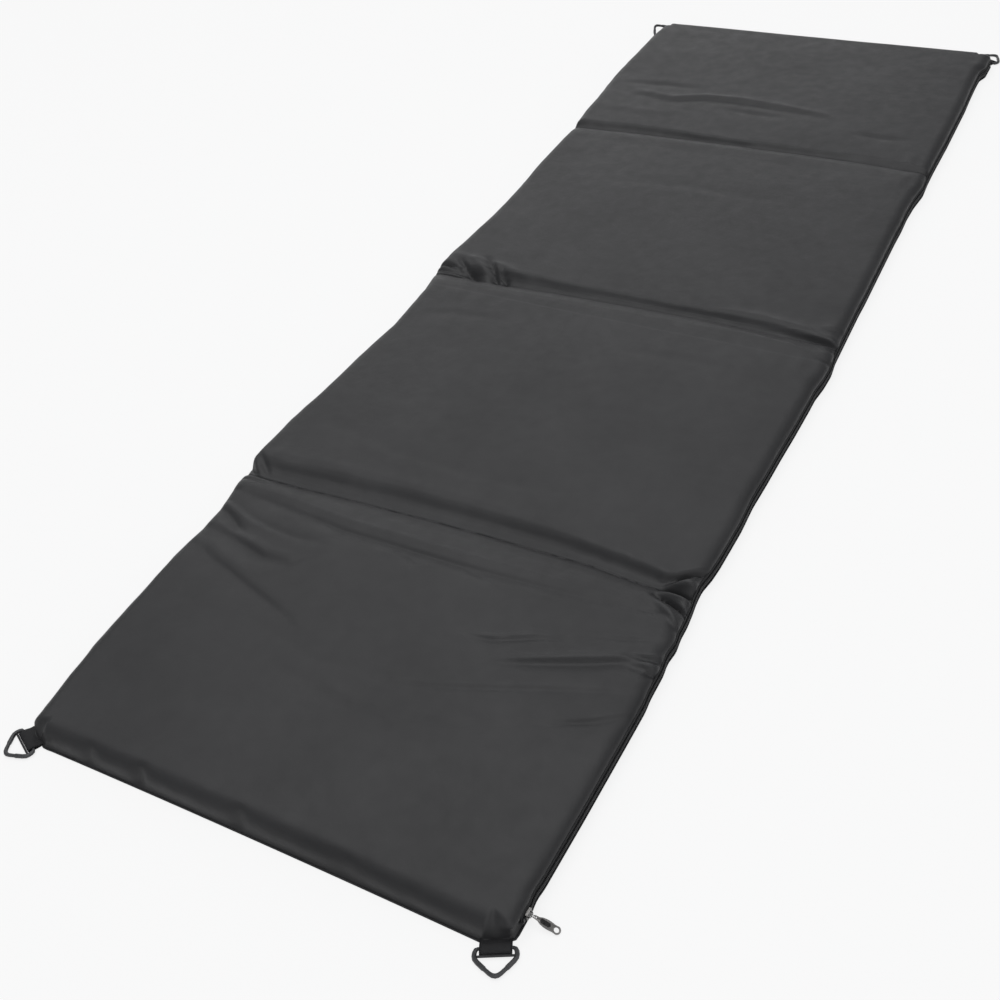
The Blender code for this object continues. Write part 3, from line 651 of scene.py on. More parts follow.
def cloth_height(x, y):
    """Height of the cover over the floor, in metres, at each point of the mat's plan."""
    x = np.asarray(x, float)
    y = np.asarray(y, float)
    panel = np.digitize(y, FOLDS)
    low = np.array([-HALF_LENGTH, *(fold + WEB / 2 for fold in FOLDS)])[panel]
    high = np.array([*(fold - WEB / 2 for fold in FOLDS), HALF_LENGTH])[panel]
    share = np.clip((y - low) / (high - low), 0, 1)
    crown = (1 - np.abs(2 * share - 1) ** 4) * (1 - np.abs(x / HALF_WIDTH) ** 4)
    height = PAD_HEIGHT + PAD_CROWN * crown
    height = height + 0.0008 * rumple(x, y, 0.21, 0.17, 3) + 0.0005 * rumple(x, y, 0.085, 0.07, 4)
    # short cross creases where the cloth is gathered into a fold, stronger toward its ends
    for number, channel in enumerate(CHANNELS):
        d = y - channel["fold"]
        gather = np.exp(-(((np.abs(d) - 0.045) / 0.028) ** 2))
        ends = 0.35 + smooth((np.abs(x) - 0.24) / 0.14)
        height = height + 0.0009 * gather * ends * rumple(x, y, 0.021, 0.08, 20 + number)
    for number, channel in enumerate(CHANNELS):
        drop, floor, d, pull = fold_drop(x, y, channel, number)
        ends = smooth((np.abs(x) - 0.30) / 0.08)
        puff = 1 - np.exp(-((pull / 0.008) ** 2))
        floor = floor + (0.0007 + 0.0022 * ends) * puff * rumple(x, y, 0.019, 0.03, 30 + number)
        near_fold = np.abs(d) < 0.09
        height = np.where(near_fold, height + (floor - height) * drop, height)
    for row in RELIEF:
        height = height + RELIEF_STRENGTH * relief_line(x, y, row)
    over_foam = (np.abs(x) < HALF_WIDTH - FOAM_ROOM) & (np.abs(y) < HALF_LENGTH - FOAM_ROOM)
    for fold in FOLDS:
        over_foam = over_foam & (np.abs(y - fold) > FOAM_TO_FOLD)
    height = np.where(over_foam, np.maximum(height, FOAM_TOP + OVER_FOAM * (height - FOAM_TOP)), height)
    return np.maximum(height, LEAST_HEIGHT)


# The cloth's plan

RIM = 16  # rows of points from the shoulder down to the hem
# The way each corner's strap points, in degrees from straight across the mat. Left and near are -1.
REST_ANGLES = {(-1, -1): 63, (1, -1): 63, (-1, 1): 21, (1, 1): 63}


def profile(*points):
    """Rows of (outward, share of the edge's height, run) from points of (millimetres outward, share)."""
    edge_height = 34.0
    table = np.array(points, float)
    scaled = table * (1.0, edge_height)
    run = run_along(scaled)
    at = np.linspace(0, run[-1], RIM + 1)
    return np.stack([np.interp(at, run, table[:, 0]) * MM, np.interp(at, run, table[:, 1]), at * MM], 1)


def rounded(flat, radius, drop, steps=9):
    """Points of a rounded shoulder after a flat part."""
    turns = [math.radians(90 * k / steps) for k in range(steps + 1)]
    return [(flat + radius * math.sin(turn), 1 - drop * (1 - math.cos(turn))) for turn in turns]


END_RIM = profile((0, 1), *rounded(5, 28.2, 0.84), (33.9, 0.09), (34.4, 0.04), (35.4, 0.0))
LEFT_RIM = profile((0, 1), *rounded(14, 19.6, 0.5), (34.0, 0.3), (33.6, 0.12), (34.2, 0.0))
# drawn in behind the zip
ZIP_RIM = profile(
    (0, 1),
    *rounded(15, 19.6, 0.36),
    (34.4, 0.6), (32.2, 0.56), (31.4, 0.5), (31.4, 0.14), (32.6, 0.1), (33.8, 0.05), (34.0, 0.0),
)
# the flattened ear of cloth over a corner's strap
EAR_RIM = profile(
    (0, 1), (8, 0.97), (14, 0.90), (20, 0.78), (26, 0.60),
    (30, 0.42), (33, 0.26), (34.4, 0.16), (34.2, 0.08), (33.6, 0.0),
)


def corner_reach(angle, tab):
    """How far the hem lies from the corner arc's middle: squared off, with a straight cut over the tab."""
    least = 1e-6
    softness = 0.0012
    sides = min(CORNER / max(math.cos(angle), least), CORNER / max(math.sin(angle), least))
    cut = CORNER * math.cos(min(tab, math.pi / 2 - tab)) / max(math.cos(angle - tab), least)
    arc = CORNER * 1.1
    rows = np.array([sides, cut, arc])
    return float(-softness * math.log(np.exp(-rows / softness).sum()))


def rim_place(level, angle, side, end):
    """Outward distance, share of height and cloth length of a rim row at a corner's angle."""
    flank = ZIP_RIM if side > 0 else LEFT_RIM
    turn = smooth(angle / (math.pi / 2))
    mixed = flank[level] * (1 - turn) + END_RIM[level] * turn
    if angle <= 0 or angle >= math.pi / 2:
        return mixed
    tab = math.radians(REST_ANGLES[(side, end)])
    from_side = min(angle, math.pi / 2 - angle)
    ear = 0.96 * math.exp(-(((angle - tab) / math.radians(24)) ** 2))
    ear *= smooth(from_side / math.radians(16))
    mixed = mixed * (1 - ear) + EAR_RIM[level] * ear
    stretch = 1 + (corner_reach(angle, tab) / CORNER - 1) * smooth(from_side / math.radians(4))
    return mixed * (stretch, 1.0, stretch)


def spaced(low, high, step):
    """Even places from low to high, about a step apart."""
    return list(np.linspace(low, high, max(2, round((high - low) / step) + 1)))


def stations(low, high, coarse, bands, kept=()):
    """Places from low to high, closer together inside each band of (low, high, step)."""
    cuts = {low, high, *kept}
    for a, b, step in bands:
        cuts |= {a, b}
    cuts = sorted(cut for cut in cuts if low <= cut <= high)
    places = []
    for a, b in zip(cuts, cuts[1:]):
        step = min([coarse] + [s for p, q, s in bands if p <= (a + b) / 2 <= q])
        places += spaced(a, b, step)[:-1]
    return places + [high]


INNER_X = HALF_WIDTH - CORNER
INNER_Y = HALF_LENGTH - CORNER
# Bands of (low, high, step) where the cloth creases and its points lie closer together
CREASED_ACROSS = (
    (-INNER_X, -0.335, 0.0036),
    (0.325, INNER_X, 0.0028),
)
CREASED_ALONG = (
    (-0.94, -0.70, 0.0029),
    (FOLDS[0] - 0.085, FOLDS[0] + 0.07, 0.0026),
    (FOLDS[0] - 0.008, FOLDS[0] + 0.018, 0.0013),
    (-0.066, 0.085, 0.0026),
    (0.010, 0.032, 0.0015),
    (FOLDS[2] - 0.06, FOLDS[2] + 0.07, 0.003),
)
SEAMS = (*FOLDS, -WEB / 2, WEB / 2)  # where one piece of cloth ends and the next begins
core_x = np.array(stations(-INNER_X, INNER_X, 0.0062, CREASED_ACROSS))
core_y = np.array(stations(-INNER_Y, INNER_Y, 0.0064, CREASED_ALONG, SEAMS))

# Dents in the near end's wall: place, half-width and depth
DIMPLES = (
    (-0.180, 0.010, 0.0062),
    (-0.271, 0.009, 0.0042),
    (-0.008, 0.011, 0.0050),
    (0.16, 0.022, 0.0016),
    (0.262, 0.014, 0.0014),
)

# How far each long side strays outward from straight: rows of (place along the mat, stray) in millimetres
LEFT_STRAY = (
    (-1200, -18), (-1181, -16), (-1160, -12), (-1137, -10), (-1114, -7), (-1091, -4), (-1043, -1),
    (-965, 0), (-885, 3), (-828, 2), (-799, 1), (-768, -3), (-739, -2), (-708, -1), (-679, 5),
    (-649, 10), (-618, 13), (-589, 22), (-555, 23), (-521, 21), (-486, 20), (-449, 17), (-412, 12),
    (-374, 8), (-335, 5), (-297, 3), (-257, 0), (-216, -4), (-175, -7), (-134, -7), (-92, -5),
    (-49, -5), (-8, 3), (34, 12), (80, 10), (128, 4), (177, 2), (227, -4), (277, -4), (379, -4),
    (432, -1), (542, -1), (599, -3), (656, 2), (716, 5), (776, 7), (838, 12), (902, 13), (1037, 11),
    (1106, 11), (1160, 6), (1200, 4),
)
RIGHT_STRAY = (
    (-1200, -1), (-1181, -1), (-1168, 1), (-1150, -5), (-1138, -4), (-1110, 0), (-1000, 3), (-885, 5),
    (-814, 6), (-792, 4), (-747, 4), (-725, 1), (-700, 4), (-677, 1), (-653, 1), (-629, -1), (-605, -4),
    (-580, -5), (-552, 0), (-525, 2), (-442, 4), (-386, 2), (-327, 4), (-265, 5), (-201, 7), (-135, 8),
    (-101, 8), (-66, 12), (-30, 13), (4, 9), (40, 8), (77, 7), (115, 6), (153, 5), (193, 5), (233, 4),
    (273, 3), (315, 2), (358, 1), (401, 0), (446, 0), (491, -2), (538, -1), (587, 4), (635, 1),
    (685, 0), (789, 0), (897, -2), (953, -3), (1010, -6), (1069, -8), (1129, -8), (1160, -4), (1200, 0),
)


def right_stray(y):
    """The zip side's stray in metres, with none where the slider stands at either end of its run."""
    return along(y, RIGHT_STRAY, 12.0) * smooth((y + 1.145) / 0.03) * smooth((1.13 - y) / 0.03)


SIDE_FROM, SIDE_OVER = 0.28, 0.11  # what a long side does to the cloth starts here, and over this width
END_FROM, END_OVER = 1.11, 0.08  # and the same for an end
END_DRAW = 0.0028
CORNER_PULL = 0.006
BASE_HEIGHT = 0.00045
OVER_STRAP = 0.0051  # the hem's height where it lies over a corner's strap


def corner_axes(x, y, side, end):
    """How far points lie from a corner arc's middle, along the corner's strap and across it."""
    turn = math.radians(REST_ANGLES[(side, end)])
    dx = (x - side * INNER_X) * side
    dy = (y - end * INNER_Y) * end
    return dx * math.cos(turn) + dy * math.sin(turn), dy * math.cos(turn) - dx * math.sin(turn)


def lay_cloth(xs, ys, count, place, flat=False):
    """A grid of points with rows along the mat, columns across it and count rim rows all round.

    place gives a rim row's place at a corner's angle, and flat lays the sheet on the floor. The grid comes
    with its map as flat cloth and with each row's place along the mat.
    """

    def with_rims(inner):
        """(side, index) of each row: the low side's rim, the inner places and the high side's rim."""
        low_rim = [(-1, count - k) for k in range(count)]
        high_rim = [(1, k + 1) for k in range(count)]
        return low_rim + [(0, k) for k in range(inner)] + high_rim

    columns = with_rims(len(xs))
    rows = with_rims(len(ys))
    quarter = math.pi / 4
    shape = (len(rows), len(columns))
    base_x, base_y = np.zeros(shape), np.zeros(shape)
    out_x, out_y = np.zeros(shape), np.zeros(shape)
    share, cloth_x, cloth_y = np.ones(shape), np.zeros(shape), np.zeros(shape)
    for j, (end, b) in enumerate(rows):
        for i, (side, a) in enumerate(columns):
            base_x[j, i] = xs[a] if side == 0 else side * INNER_X
            base_y[j, i] = ys[b] if end == 0 else end * INNER_Y
            if side == 0 and end == 0:
                continue
            if end == 0:
                level, angle = a, 0.0
            elif side == 0:
                level, angle = b, math.pi / 2
            elif a >= b:
                level, angle = a, quarter * b / a
            else:
                level, angle = b, math.pi / 2 - quarter * a / b
            outward, height, length = place(level, angle, side, end)
            ox, oy = math.cos(angle) * side, math.sin(angle) * end
            out_x[j, i], out_y[j, i] = ox * outward, oy * outward
            share[j, i] = height
            cloth_x[j, i], cloth_y[j, i] = ox * length, oy * length
    x = base_x + out_x
    y = base_y + out_y
    # the sides stray from straight, and the ends are drawn in a little
    left = smooth((-x - SIDE_FROM) / SIDE_OVER)
    right = smooth((x - SIDE_FROM) / SIDE_OVER)
    near_end = smooth((-y - END_FROM) / END_OVER)
    far_end = smooth((y - END_FROM) / END_OVER)
    x = x - left * along(base_y, LEFT_STRAY, 12.0) + right * right_stray(base_y)
    y = y + END_DRAW * (1 - (base_x / HALF_WIDTH) ** 2) * (near_end - far_end)
    # the near left corner is pulled out over its strap
    turn = math.radians(REST_ANGLES[(-1, -1)])
    out, off = corner_axes(x, y, -1, -1)
    pull = CORNER_PULL * smooth((out - 0.010) / 0.018) * np.exp(-((off / 0.020) ** 2))
    x = x - pull * math.cos(turn)
    y = y - pull * math.sin(turn)
    if flat:
        inner = smooth((0.39 - np.abs(x)) / 0.03) * smooth((1.19 - np.abs(y)) / 0.03)
        z = BASE_HEIGHT + 0.00012 * inner * (1 + rumple(x, y, 0.05, 0.04, 60))
    else:
        edge = cloth_height(base_x + 0.95 * out_x, base_y + 0.3 * out_y)
        z = HEM + (edge - HEM) * share
        # walls that dent and bulge between hem and shoulder
        wall = np.clip(4 * share * (1 - share), 0, 1) * (share < 0.999)
        bulge = 0.0014 * rumple(base_y, base_x, 0.06, 0.5, 50)
        bulge = bulge + 0.0007 * rumple(base_y, base_x, 0.022, 0.5, 51)
        x = x - wall * left * bulge * 1.4
        end_bulge = 0.0012 * rumple(base_x, base_y, 0.075, 0.5, 52)
        end_bulge = end_bulge + 0.0006 * rumple(base_x, base_y, 0.024, 0.5, 53)
        y = y + wall * near_end * (end_bulge + 0.0006) - wall * far_end * end_bulge
        for middle, width, depth in DIMPLES:
            pinch = np.exp(-((np.abs(base_x - middle) / width) ** 1.6)) * near_end * wall
            y = y + depth * pinch
            z = z - 0.4 * depth * pinch
        # the corner hem lies over the folded strap
        for side, end in REST_ANGLES:
            out, off = corner_axes(x, y, side, end)
            beyond = (side * x > INNER_X) & (end * y > INNER_Y)
            over = smooth((0.0235 - np.abs(off)) / 0.003) * smooth((out - 0.012) / 0.006) * beyond
            z = np.maximum(z, OVER_STRAP * over)
    points = np.stack([x, y, z], 2)
    cloth = np.stack([base_x + cloth_x, base_y + cloth_y], 2)
    places = np.array([ys[b] if end == 0 else end * HALF_LENGTH for end, b in rows])
    return points, cloth, places


cover_points, cover_cloth, cover_rows = lay_cloth(core_x, core_y, RIM, rim_place)


# The five stretches of the mat that have a cover piece each. low and high are where one begins and ends.
ZONES = (
    dict(name="panel_1", low=-HALF_LENGTH, high=FOLDS[0], bodies=("panel_1", "web_1")),
    dict(name="panel_2", low=FOLDS[0], high=-WEB / 2, bodies=("web_1", "panel_2")),
    dict(name="fold_2", low=-WEB / 2, high=WEB / 2, bodies=("panel_2", "panel_3")),
    dict(name="panel_3", low=WEB / 2, high=FOLDS[2], bodies=("panel_3", "web_3")),
    dict(name="panel_4", low=FOLDS[2], high=HALF_LENGTH, bodies=("web_3", "panel_4")),
)


def bend_zone(piece):
    """Bakes a piece's placement into its mesh."""
    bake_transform(piece)


def zone_rows(zone, places):
    """The first row of a zone and the one after its last."""
    inside = np.where((places >= zone["low"] - 1e-6) & (places <= zone["high"] + 1e-6))[0]
    return inside[0], inside[-1] + 1


def zone_sheet(kind, zone, points, cloth, material, thickness):
    """A zone's stretch of a sheet, with its thickness grown inward."""
    rows, columns = points.shape[:2]
    faces = grid_faces(rows, columns)
    piece = mesh_piece(
        f"{kind}_{zone['name']}", points.reshape(-1, 3), faces, material, cloth.reshape(-1, 2)
    )
    grow_thickness(piece, thickness)
    return piece


COVER_THICK = 0.0008
COVER_NODES = {
    "panel_1": ("cover_top_1",),
    "panel_2": ("cover_top_2", "fold_web_1"),
    "fold_2": ("fold_web_2_near", "fold_web_2_far"),
    "panel_3": ("cover_top_3",),
    "panel_4": ("cover_top_4", "fold_web_3"),
}

for zone in ZONES:
    first, last = zone_rows(zone, cover_rows)
    cover = zone_sheet("cover", zone, cover_points[first:last], cover_cloth[first:last], NYLON, COVER_THICK)
    crisp_rim(cover)
    bend_zone(cover)
    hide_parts(*COVER_NODES[zone["name"]])


# Base sheets and hem binding

BASE_NODES = {f"panel_{number}": f"cover_base_{number}" for number in (1, 2, 3, 4)}
BASE_RIM = 5
BASE_THICK = 0.0004
BINDING_HEIGHT = 0.0007
# the folded tape round the hem: outward and up
BINDING_SECTION = np.array(
    [(-0.6, -0.35), (0.6, -0.5), (1.9, -0.45), (2.4, 0.1), (2.35, 0.8), (1.8, 1.3), (0.8, 1.5), (-0.2, 1.4)]
) * MM


def thin_out(path, step):
    """The same path with points no closer than step, its two ends kept."""
    kept = [path[0]]
    for point in path[1:-1]:
        if np.linalg.norm(point - kept[-1]) >= step:
            kept.append(point)
    if np.linalg.norm(path[-1] - kept[-1]) < step * 0.4 and len(kept) > 1:
        kept.pop()
    return np.array(kept + [path[-1]])


def hem_runs(zone):
    """The hem of a zone in one run or two, anticlockwise from above, so that outward is to its right."""
    first, last = zone_rows(zone, cover_rows)
    block = cover_points[first:last]
    left, right = block[:, 0], block[:, -1]
    if zone["name"] == "panel_1":
        return [np.concatenate([left[::-1], block[0][1:], right[1:]])]
    if zone["name"] == "panel_4":
        return [np.concatenate([right, block[-1][::-1][1:], left[::-1][1:]])]
    return [left[::-1], right]


def base_place(level, angle, side, end):
    """A base sheet's rim rows lie evenly from the shoulder's line out to the cover's hem."""
    return rim_place(RIM, angle, side, end) * (level / BASE_RIM, 0.0, level / BASE_RIM)


base_core_x = np.array(spaced(-INNER_X, INNER_X, 0.018))
base_core_y = np.array(stations(-INNER_Y, INNER_Y, 0.014, (), SEAMS))
base_points, base_cloth, base_rows = lay_cloth(base_core_x, base_core_y, BASE_RIM, base_place, flat=True)

for zone in ZONES:
    first, last = zone_rows(zone, base_rows)
    points = base_points[first:last]
    sides = points[:, -1, :2] - points[:, 0, :2]
    length = float(points[..., 1].max() - points[..., 1].min())
    sheet = zone_sheet("base", zone, points, base_cloth[first:last], BASE_NYLON, BASE_THICK)
    bend_zone(sheet)
    if zone["name"] in BASE_NODES:
        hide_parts(BASE_NODES[zone["name"]])
    for number, run in enumerate(hem_runs(zone)):
        path = thin_out(run, 0.006)
        path[:, 2] = BINDING_HEIGHT
        binding = strip_along(f"hem_binding_{zone['name']}_{number + 1}", path, BINDING_SECTION, BINDING)
        bend_zone(binding)


# Foam slabs

FOLD_ROOM = 0.0095  # between a slab and a fold that folds inward
END_ROOM = 0.0015  # and between a slab and its cover's other end
SIDE_ROOM = 0.005  # to the long sides, the base sheet and the cover's top
UNDER_ROOM = 0.0006
TOP_ROOM = 0.0018
CORNER_ROUND = 0.046  # the slabs' upright edges at the mat's corners
INNER_ROUND = 0.02  # and at the folds
TOP_ROUND = 0.0095


def bevel_edges(piece, wanted, size, segments):
    """Rounds those edges for whose two ends wanted is true."""
    bpy.ops.object.mode_set(mode="EDIT")
    bpy.ops.mesh.select_all(action="DESELECT")
    bpy.ops.object.mode_set(mode="OBJECT")
    for edge in piece.data.edges:
        edge.select = wanted(*(piece.data.vertices[corner].co for corner in edge.vertices))
    bpy.ops.object.mode_set(mode="EDIT")
    bpy.ops.mesh.bevel(offset=size, segments=segments)
    bpy.ops.object.mode_set(mode="OBJECT")


def foam_slab(number):
    """A block of foam cut to the panel: rounded in plan, and eased along its top edges."""
    low, high = (Vector(corner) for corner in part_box(f"foam_pad_{number}"))
    low += Vector((SIDE_ROOM, FOLD_ROOM if number in (2, 4) else END_ROOM, UNDER_ROOM))
    high -= Vector((SIDE_ROOM, FOLD_ROOM if number in (1, 3) else END_ROOM, TOP_ROOM))
    middle = (low + high) / 2
    bpy.ops.object.select_all(action="DESELECT")
    bpy.ops.mesh.primitive_cube_add(size=1.0, location=middle)
    slab = bpy.context.object
    slab.name = slab.data.name = f"foam_slab_{number}"
    slab.scale = high - low
    bpy.ops.object.transform_apply(location=True, rotation=True, scale=True)
    bpy.ops.object.mode_set(mode="EDIT")
    bpy.ops.mesh.select_mode(type="EDGE")
    bpy.ops.object.mode_set(mode="OBJECT")

    def upright(a, b):
        return abs(a.z - b.z) > 0.01

    def along_top(a, b):
        return not upright(a, b) and min(a.z, b.z) > middle.z

    bevel_edges(slab, upright, CORNER_ROUND if number in (1, 4) else INNER_ROUND, segments=6)
    bevel_edges(slab, along_top, TOP_ROUND, segments=3)
    slab.data.materials.append(FOAM)
    slab.data.shade_smooth()
    slab.select_set(False)
    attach(slab, f"panel_{number}")
    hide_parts(f"foam_pad_{number}")


for number in (1, 2, 3, 4):
    foam_slab(number)


# Stitches

STITCH_LENGTH = 0.0030
STITCH_PITCH = 0.0046
STITCH_REACH = 0.0012  # from a stitch's middle to where it goes down into the cloth
STITCH_BEND = 0.0008  # and to where it starts to bend
STITCH_DIP = 0.00045
STITCH_LIFT = 0.00012
THREAD_RADIUS = 0.00032
SEWN_HALF = 0.372  # the fold seams run this far to each side


def take_shape(piece):
    """The corners and faces of a small piece that is copied many times. The piece itself goes."""
    corners = np.array([vertex.co[:] for vertex in piece.data.vertices])
    faces = [tuple(polygon.vertices) for polygon in piece.data.polygons]
    bpy.data.objects.remove(piece)
    return corners, faces


def stitch_shape():
    """One stitch, modelled once: a short thread with its two ends pulled down into the cloth."""
    bpy.ops.object.select_all(action="DESELECT")
    bpy.ops.mesh.primitive_cylinder_add(
        vertices=6,
        radius=THREAD_RADIUS,
        depth=STITCH_LENGTH,
        end_fill_type="TRIFAN",
        rotation=(0, math.pi / 2, 0),
    )
    stitch = bpy.context.object
    bpy.ops.object.transform_apply(location=True, rotation=True, scale=True)
    bpy.ops.object.mode_set(mode="EDIT")
    for place in (STITCH_BEND, -STITCH_BEND):
        bpy.ops.mesh.select_all(action="SELECT")
        bpy.ops.mesh.bisect(plane_co=(place, 0, 0), plane_no=(1, 0, 0))
    bpy.ops.object.mode_set(mode="OBJECT")
    for vertex in stitch.data.vertices:
        if abs(vertex.co.x) > STITCH_REACH:
            vertex.co.z -= STITCH_DIP
    return take_shape(stitch)


STITCH_CORNERS, STITCH_FACES = stitch_shape()


def sew(name, path):
    """Stitches laid end to end along a path, each flat on the cloth."""
    run = run_along(path)
    count = int(run[-1] / STITCH_PITCH)
    points, faces = [], []
    for k in range(count):
        at = (k + 0.5) * run[-1] / count
        before = np.array([np.interp(at - STITCH_REACH, run, line) for line in path.T])
        after = np.array([np.interp(at + STITCH_REACH, run, line) for line in path.T])
        forward = (after - before) / np.linalg.norm(after - before)
        up = np.array((0.0, 0.0, 1.0)) - forward * forward[2]
        up /= np.linalg.norm(up)
        sideways = np.cross(up, forward)
        middle = (before + after) / 2 + up * STITCH_LIFT
        start = len(points)
        for c in STITCH_CORNERS:
            points.append(middle + forward * c[0] + sideways * c[1] + up * c[2])
        faces += [tuple(start + v for v in face) for face in STITCH_FACES]
    return mesh_piece(name, points, faces, THREAD)


for number, channel in enumerate(CHANNELS):
    x = np.linspace(-SEWN_HALF, SEWN_HALF, 190)
    y = channel["fold"] + stitch_line(x, number)
    row = sew(f"fold_{number + 1}_stitches", np.stack([x, y, cloth_height(x, y)], 1))
    bend_zone(row)


# Zip

CHAIN_HIGH = HALF_LENGTH - CORNER - 0.002
CHAIN_LOW = -CHAIN_HIGH
TOOTH_PITCH = 0.0021
TOOTH_SIZE = (0.0020, 0.0011, 0.0030)
TOOTH_ROUND = 0.00036
COIL_MIDDLE = 0.0019  # from the zip's middle line up or down to a coil's middle
COIL_OUT = 0.40245  # from the mat's middle line to a coil's
TAPE_OUT = box_side("zip_tape_upper_panel_1", LOW, ACROSS)
TAPE_THICK = 0.0008
TAPE_EDGE = {"upper": 0.0089, "lower": 0.0088}  # from the zip's middle line to the tapes' far edges
ZIP_BODIES = {
    "panel_1": ("panel_1", "web_1"),
    "panel_2": ("panel_2",),
    "panel_3": ("panel_3",),
    "panel_4": ("panel_4", "web_3"),
}


def tooth_shape():
    """One turn of the zip coil, modelled once: a slim rounded bar with a thicker head."""
    bpy.ops.object.select_all(action="DESELECT")
    bpy.ops.mesh.primitive_cube_add(size=1.0)
    tooth = bpy.context.object
    tooth.scale = TOOTH_SIZE
    bpy.ops.object.transform_apply(location=True, rotation=True, scale=True)
    bpy.ops.object.mode_set(mode="EDIT")
    bpy.ops.mesh.select_all(action="SELECT")
    bpy.ops.mesh.bevel(offset=TOOTH_ROUND, segments=1)
    bpy.ops.object.mode_set(mode="OBJECT")
    for vertex in tooth.data.vertices:
        if vertex.co.z < 0:
            vertex.co.y *= 1.18
            vertex.co.x *= 1.08
        else:
            vertex.co.y *= 0.82
    return take_shape(tooth)


TOOTH_CORNERS, TOOTH_FACES = tooth_shape()


def zip_tape(name, low, high, sign, edge):
    """A woven tape that stands along the mat's side, above or below the zip's middle line."""
    y = np.array(spaced(low, high, 0.006))
    path = np.stack([TAPE_OUT + right_stray(y), y, np.full(len(y), ZIP_HEIGHT)], 1)
    start, half_way = 0.00042, 0.0048
    inner_face = [(0.0, start), (0.0, half_way), (0.0, edge)]
    rounded_edge = [(0.00035, edge + 0.0001)]
    outer_face = [(TAPE_THICK, edge), (TAPE_THICK, half_way), (TAPE_THICK, start)]
    section = np.array([*inner_face, *rounded_edge, *outer_face, (0.0004, 0.0003)])
    section[:, 1] *= sign
    return strip_along(name, path, section[::-sign], TAPE)


def zip_coil(name, low, high, sign):
    """One side's row of coil turns, half a pitch from the other side's."""
    count = int((high - low) / TOOTH_PITCH)
    points, faces = [], []
    for k in range(count):
        middle = low + (k + 0.5 + 0.25 * sign) * (high - low) / count
        out = COIL_OUT + float(right_stray(np.array(middle)))
        start = len(points)
        for c in TOOTH_CORNERS:
            points.append((out + c[0], middle + c[1], ZIP_HEIGHT + sign * (COIL_MIDDLE + c[2])))
        faces += [tuple(start + v for v in face[::sign]) for face in TOOTH_FACES]
    return mesh_piece(name, points, faces, COIL)


for zone in ZONES:
    low = max(zone["low"], CHAIN_LOW)
    high = min(zone["high"], CHAIN_HIGH)
    bodies = ZIP_BODIES.get(zone["name"], ())
    for side, sign in (("upper", 1), ("lower", -1)):
        tape = zip_tape(f"zip_tape_{side}_{zone['name']}", low, high, sign, TAPE_EDGE[side])
        coil = zip_coil(f"zip_coil_{side}_{zone['name']}", low, high, sign)
        for piece, slot in ((tape, "tape"), (coil, "coil")):
            bend_zone(piece)
            if bodies:
                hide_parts(*[f"zip_{slot}_{side}_{body}" for body in bodies])


# Webbing straps

STRAP_HALF = 0.0198
STRAP_THICK = 0.0011
# the folded strap's middle line in millimetres: distance out from the corner arc's middle, and height
STRAP_PATH = (
    (17, 1.5), (24, 1.2), (30, 0.95), (36, 0.75), (42, 0.72), (46, 0.9), (48.2, 1.9), (48.9, 3.4),
    (48.6, 5.0), (47.3, 6.4), (45, 7.1), (41, 7.3), (37, 6.7), (33.5, 5.2), (30.5, 4.1), (27, 3.8),
    (17, 3.9),
)


def strap(name, body, side, end):
    """Ribbed webbing, folded in two round the ring's bar, with its tails sewn in under the cover."""
    table = np.array(STRAP_PATH) * MM
    run = run_along(table)
    at = np.linspace(0, run[-1], 64)
    out = np.interp(at, run, table[:, 0])
    up = np.interp(at, run, table[:, 1])
    for line in (out, up, out, up):
        line[1:-1] = (line[:-2] + 2 * line[1:-1] + line[2:]) / 4
    across = np.linspace(-STRAP_HALF, STRAP_HALF, 13)
    angle = math.radians(REST_ANGLES[(side, end)])
    outward = np.array((side * math.cos(angle), end * math.sin(angle)))
    sideways = np.array((-outward[1], outward[0]))
    middle = np.array((side * INNER_X, end * INNER_Y))
    points, cloth = [], []
    for k in range(len(at)):
        soft = 0.0005 * math.sin(at[k] / 0.006)
        for t in across:
            droop = -0.0006 * (abs(t) / STRAP_HALF) ** 4 * smooth((up[k] - 0.003) / 0.002)
            x, y = middle + outward * out[k] + sideways * (t + soft * 0.4)
            points.append((x, y, up[k] + droop))
            cloth.append((t, at[k]))
    faces = grid_faces(len(at), len(across))
    normal = np.cross(np.subtract(points[1], points[0]), np.subtract(points[len(across)], points[0]))
    if normal[2] > 0:
        faces = [face[::-1] for face in faces]
    piece = mesh_piece(f"strap_{name}", points, faces, WEBBING, cloth)
    grow_thickness(piece, STRAP_THICK, 0.0)
    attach(piece, body)
    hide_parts(f"webbing_tab_{name}")


strap("near_left", "panel_1", -1, -1)
strap("near_right", "panel_1", 1, -1)
strap("far_left", "panel_4", -1, 1)
strap("far_right", "panel_4", 1, 1)


# Carried-over nodes

CARRIED_OVER = {
    "zip_slider": GUNMETAL,
    "zip_pull": GUNMETAL,
    "zip_stop": COIL,
    "corner_ring": PLASTIC,
}

for name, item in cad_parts.items():
    for first_words, material in CARRIED_OVER.items():
        if name.startswith(first_words):
            item.data.materials.clear()
            item.data.materials.append(material)
            for polygon in item.data.polygons:
                polygon.material_index = 0


# Floor, lights and camera

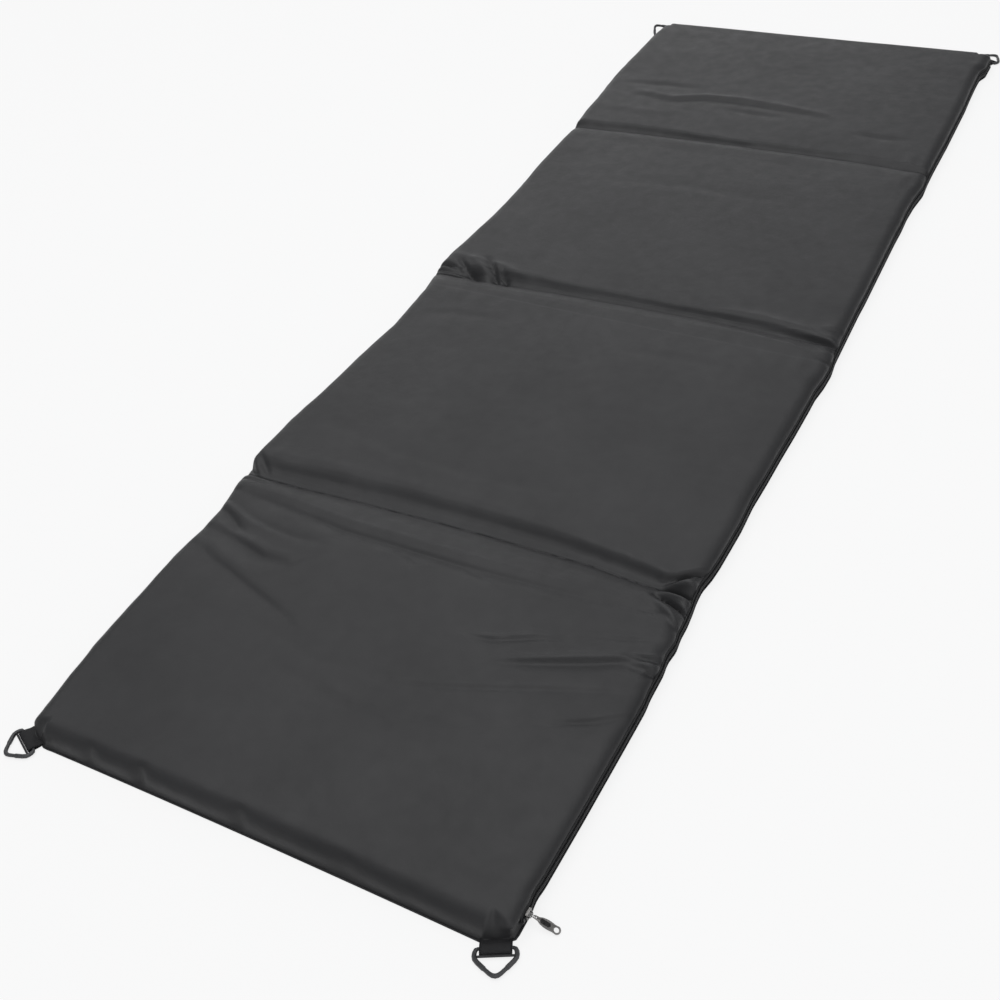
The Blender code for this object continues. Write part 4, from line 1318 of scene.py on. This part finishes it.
def stage_floor():
    """A pale floor that takes shadows. The camera, glossy surfaces and glass see it as nearly white."""
    f = Finish(bpy.data.materials.new("pale_studio_floor"))
    slight = f.noise(f.object_place(), scale=2.0, detail=2.0)
    colour = f.blend(slight, (0.80, 0.80, 0.80), (0.82, 0.82, 0.82))
    matt = f.add("ShaderNodeBsdfDiffuse", None, Color=colour)
    glow = f.add("ShaderNodeEmission", None, Color=(1.0, 1.0, 1.0), Strength=1.0)
    rays = f.add("ShaderNodeLightPath", None, out="Is Camera Ray")
    gloss = Socket(f, rays.link.node.outputs["Is Glossy Ray"])
    glass = Socket(f, rays.link.node.outputs["Is Transmission Ray"])
    seen = rays.maths("MAXIMUM", rays, gloss.maths("MAXIMUM", gloss, glass))
    shader = f.add("ShaderNodeMixShader", None, seen * 0.8, matt, glow)
    f.add("ShaderNodeOutputMaterial", None, shader)
    bpy.ops.object.select_all(action="DESELECT")
    bpy.ops.mesh.primitive_plane_add(size=40.0, location=(0, 0, -0.0004))
    floor = bpy.context.object
    floor.name = "studio_floor"
    floor.data.materials.append(f.owner)


def soft_light(name, place, aim, size, power):
    """A softbox of a size in metres and a power in watts that faces a place."""
    lamp = bpy.data.lights.new(name, "AREA")
    lamp.shape = "RECTANGLE"
    lamp.size, lamp.size_y = size
    lamp.energy = power
    holder = bpy.data.objects.new(name, lamp)
    holder.location = place
    holder.rotation_euler = (Vector(aim) - Vector(place)).to_track_quat("-Z", "Y").to_euler()
    scene.collection.objects.link(holder)


stage_floor()
soft_light("overhead_softbox", place=(-0.6, 0.3, 6.0), aim=(0, 0, 0), size=(7.0, 8.0), power=320.0)
soft_light("low_far_softbox", place=(-9.4, 13.6, 5.4), aim=(0, -0.4, 0), size=(18.0, 8.0), power=530.0)
soft_light("near_fill", place=(3.6, -5.2, 3.2), aim=(0, 0, 0), size=(4.0, 3.0), power=84.0)

w = Finish(bpy.data.worlds.new("studio"))
scene.world = w.owner
plain = w.add("ShaderNodeBackground", None, Color=(0.94, 0.96, 1.0), Strength=0.22)
white = w.add("ShaderNodeBackground", None, Color=(1.0, 1.0, 1.0), Strength=1.0)
rays = w.add("ShaderNodeLightPath", None, out="Is Camera Ray")
w.add("ShaderNodeOutputWorld", None, w.add("ShaderNodeMixShader", None, rays, plain, white))

CAMERA_PLACE = (0.9040, -1.7861, 1.4302)
CAMERA_TURN = (46.967, 7.065, 28.208)  # in degrees about X, Y and Z

camera = bpy.data.cameras.new("photograph_view")
camera.sensor_width = 36.0
camera.lens = 46.546
camera.clip_start = 0.05
camera.clip_end = 60.0
camera_holder = bpy.data.objects.new("photograph_view", camera)
turn = Euler([math.radians(degrees) for degrees in CAMERA_TURN])
camera_holder.matrix_world = Matrix.LocRotScale(Vector(CAMERA_PLACE), turn, None)
scene.collection.objects.link(camera_holder)
scene.camera = camera_holder

scene.view_settings.view_transform = "Standard"
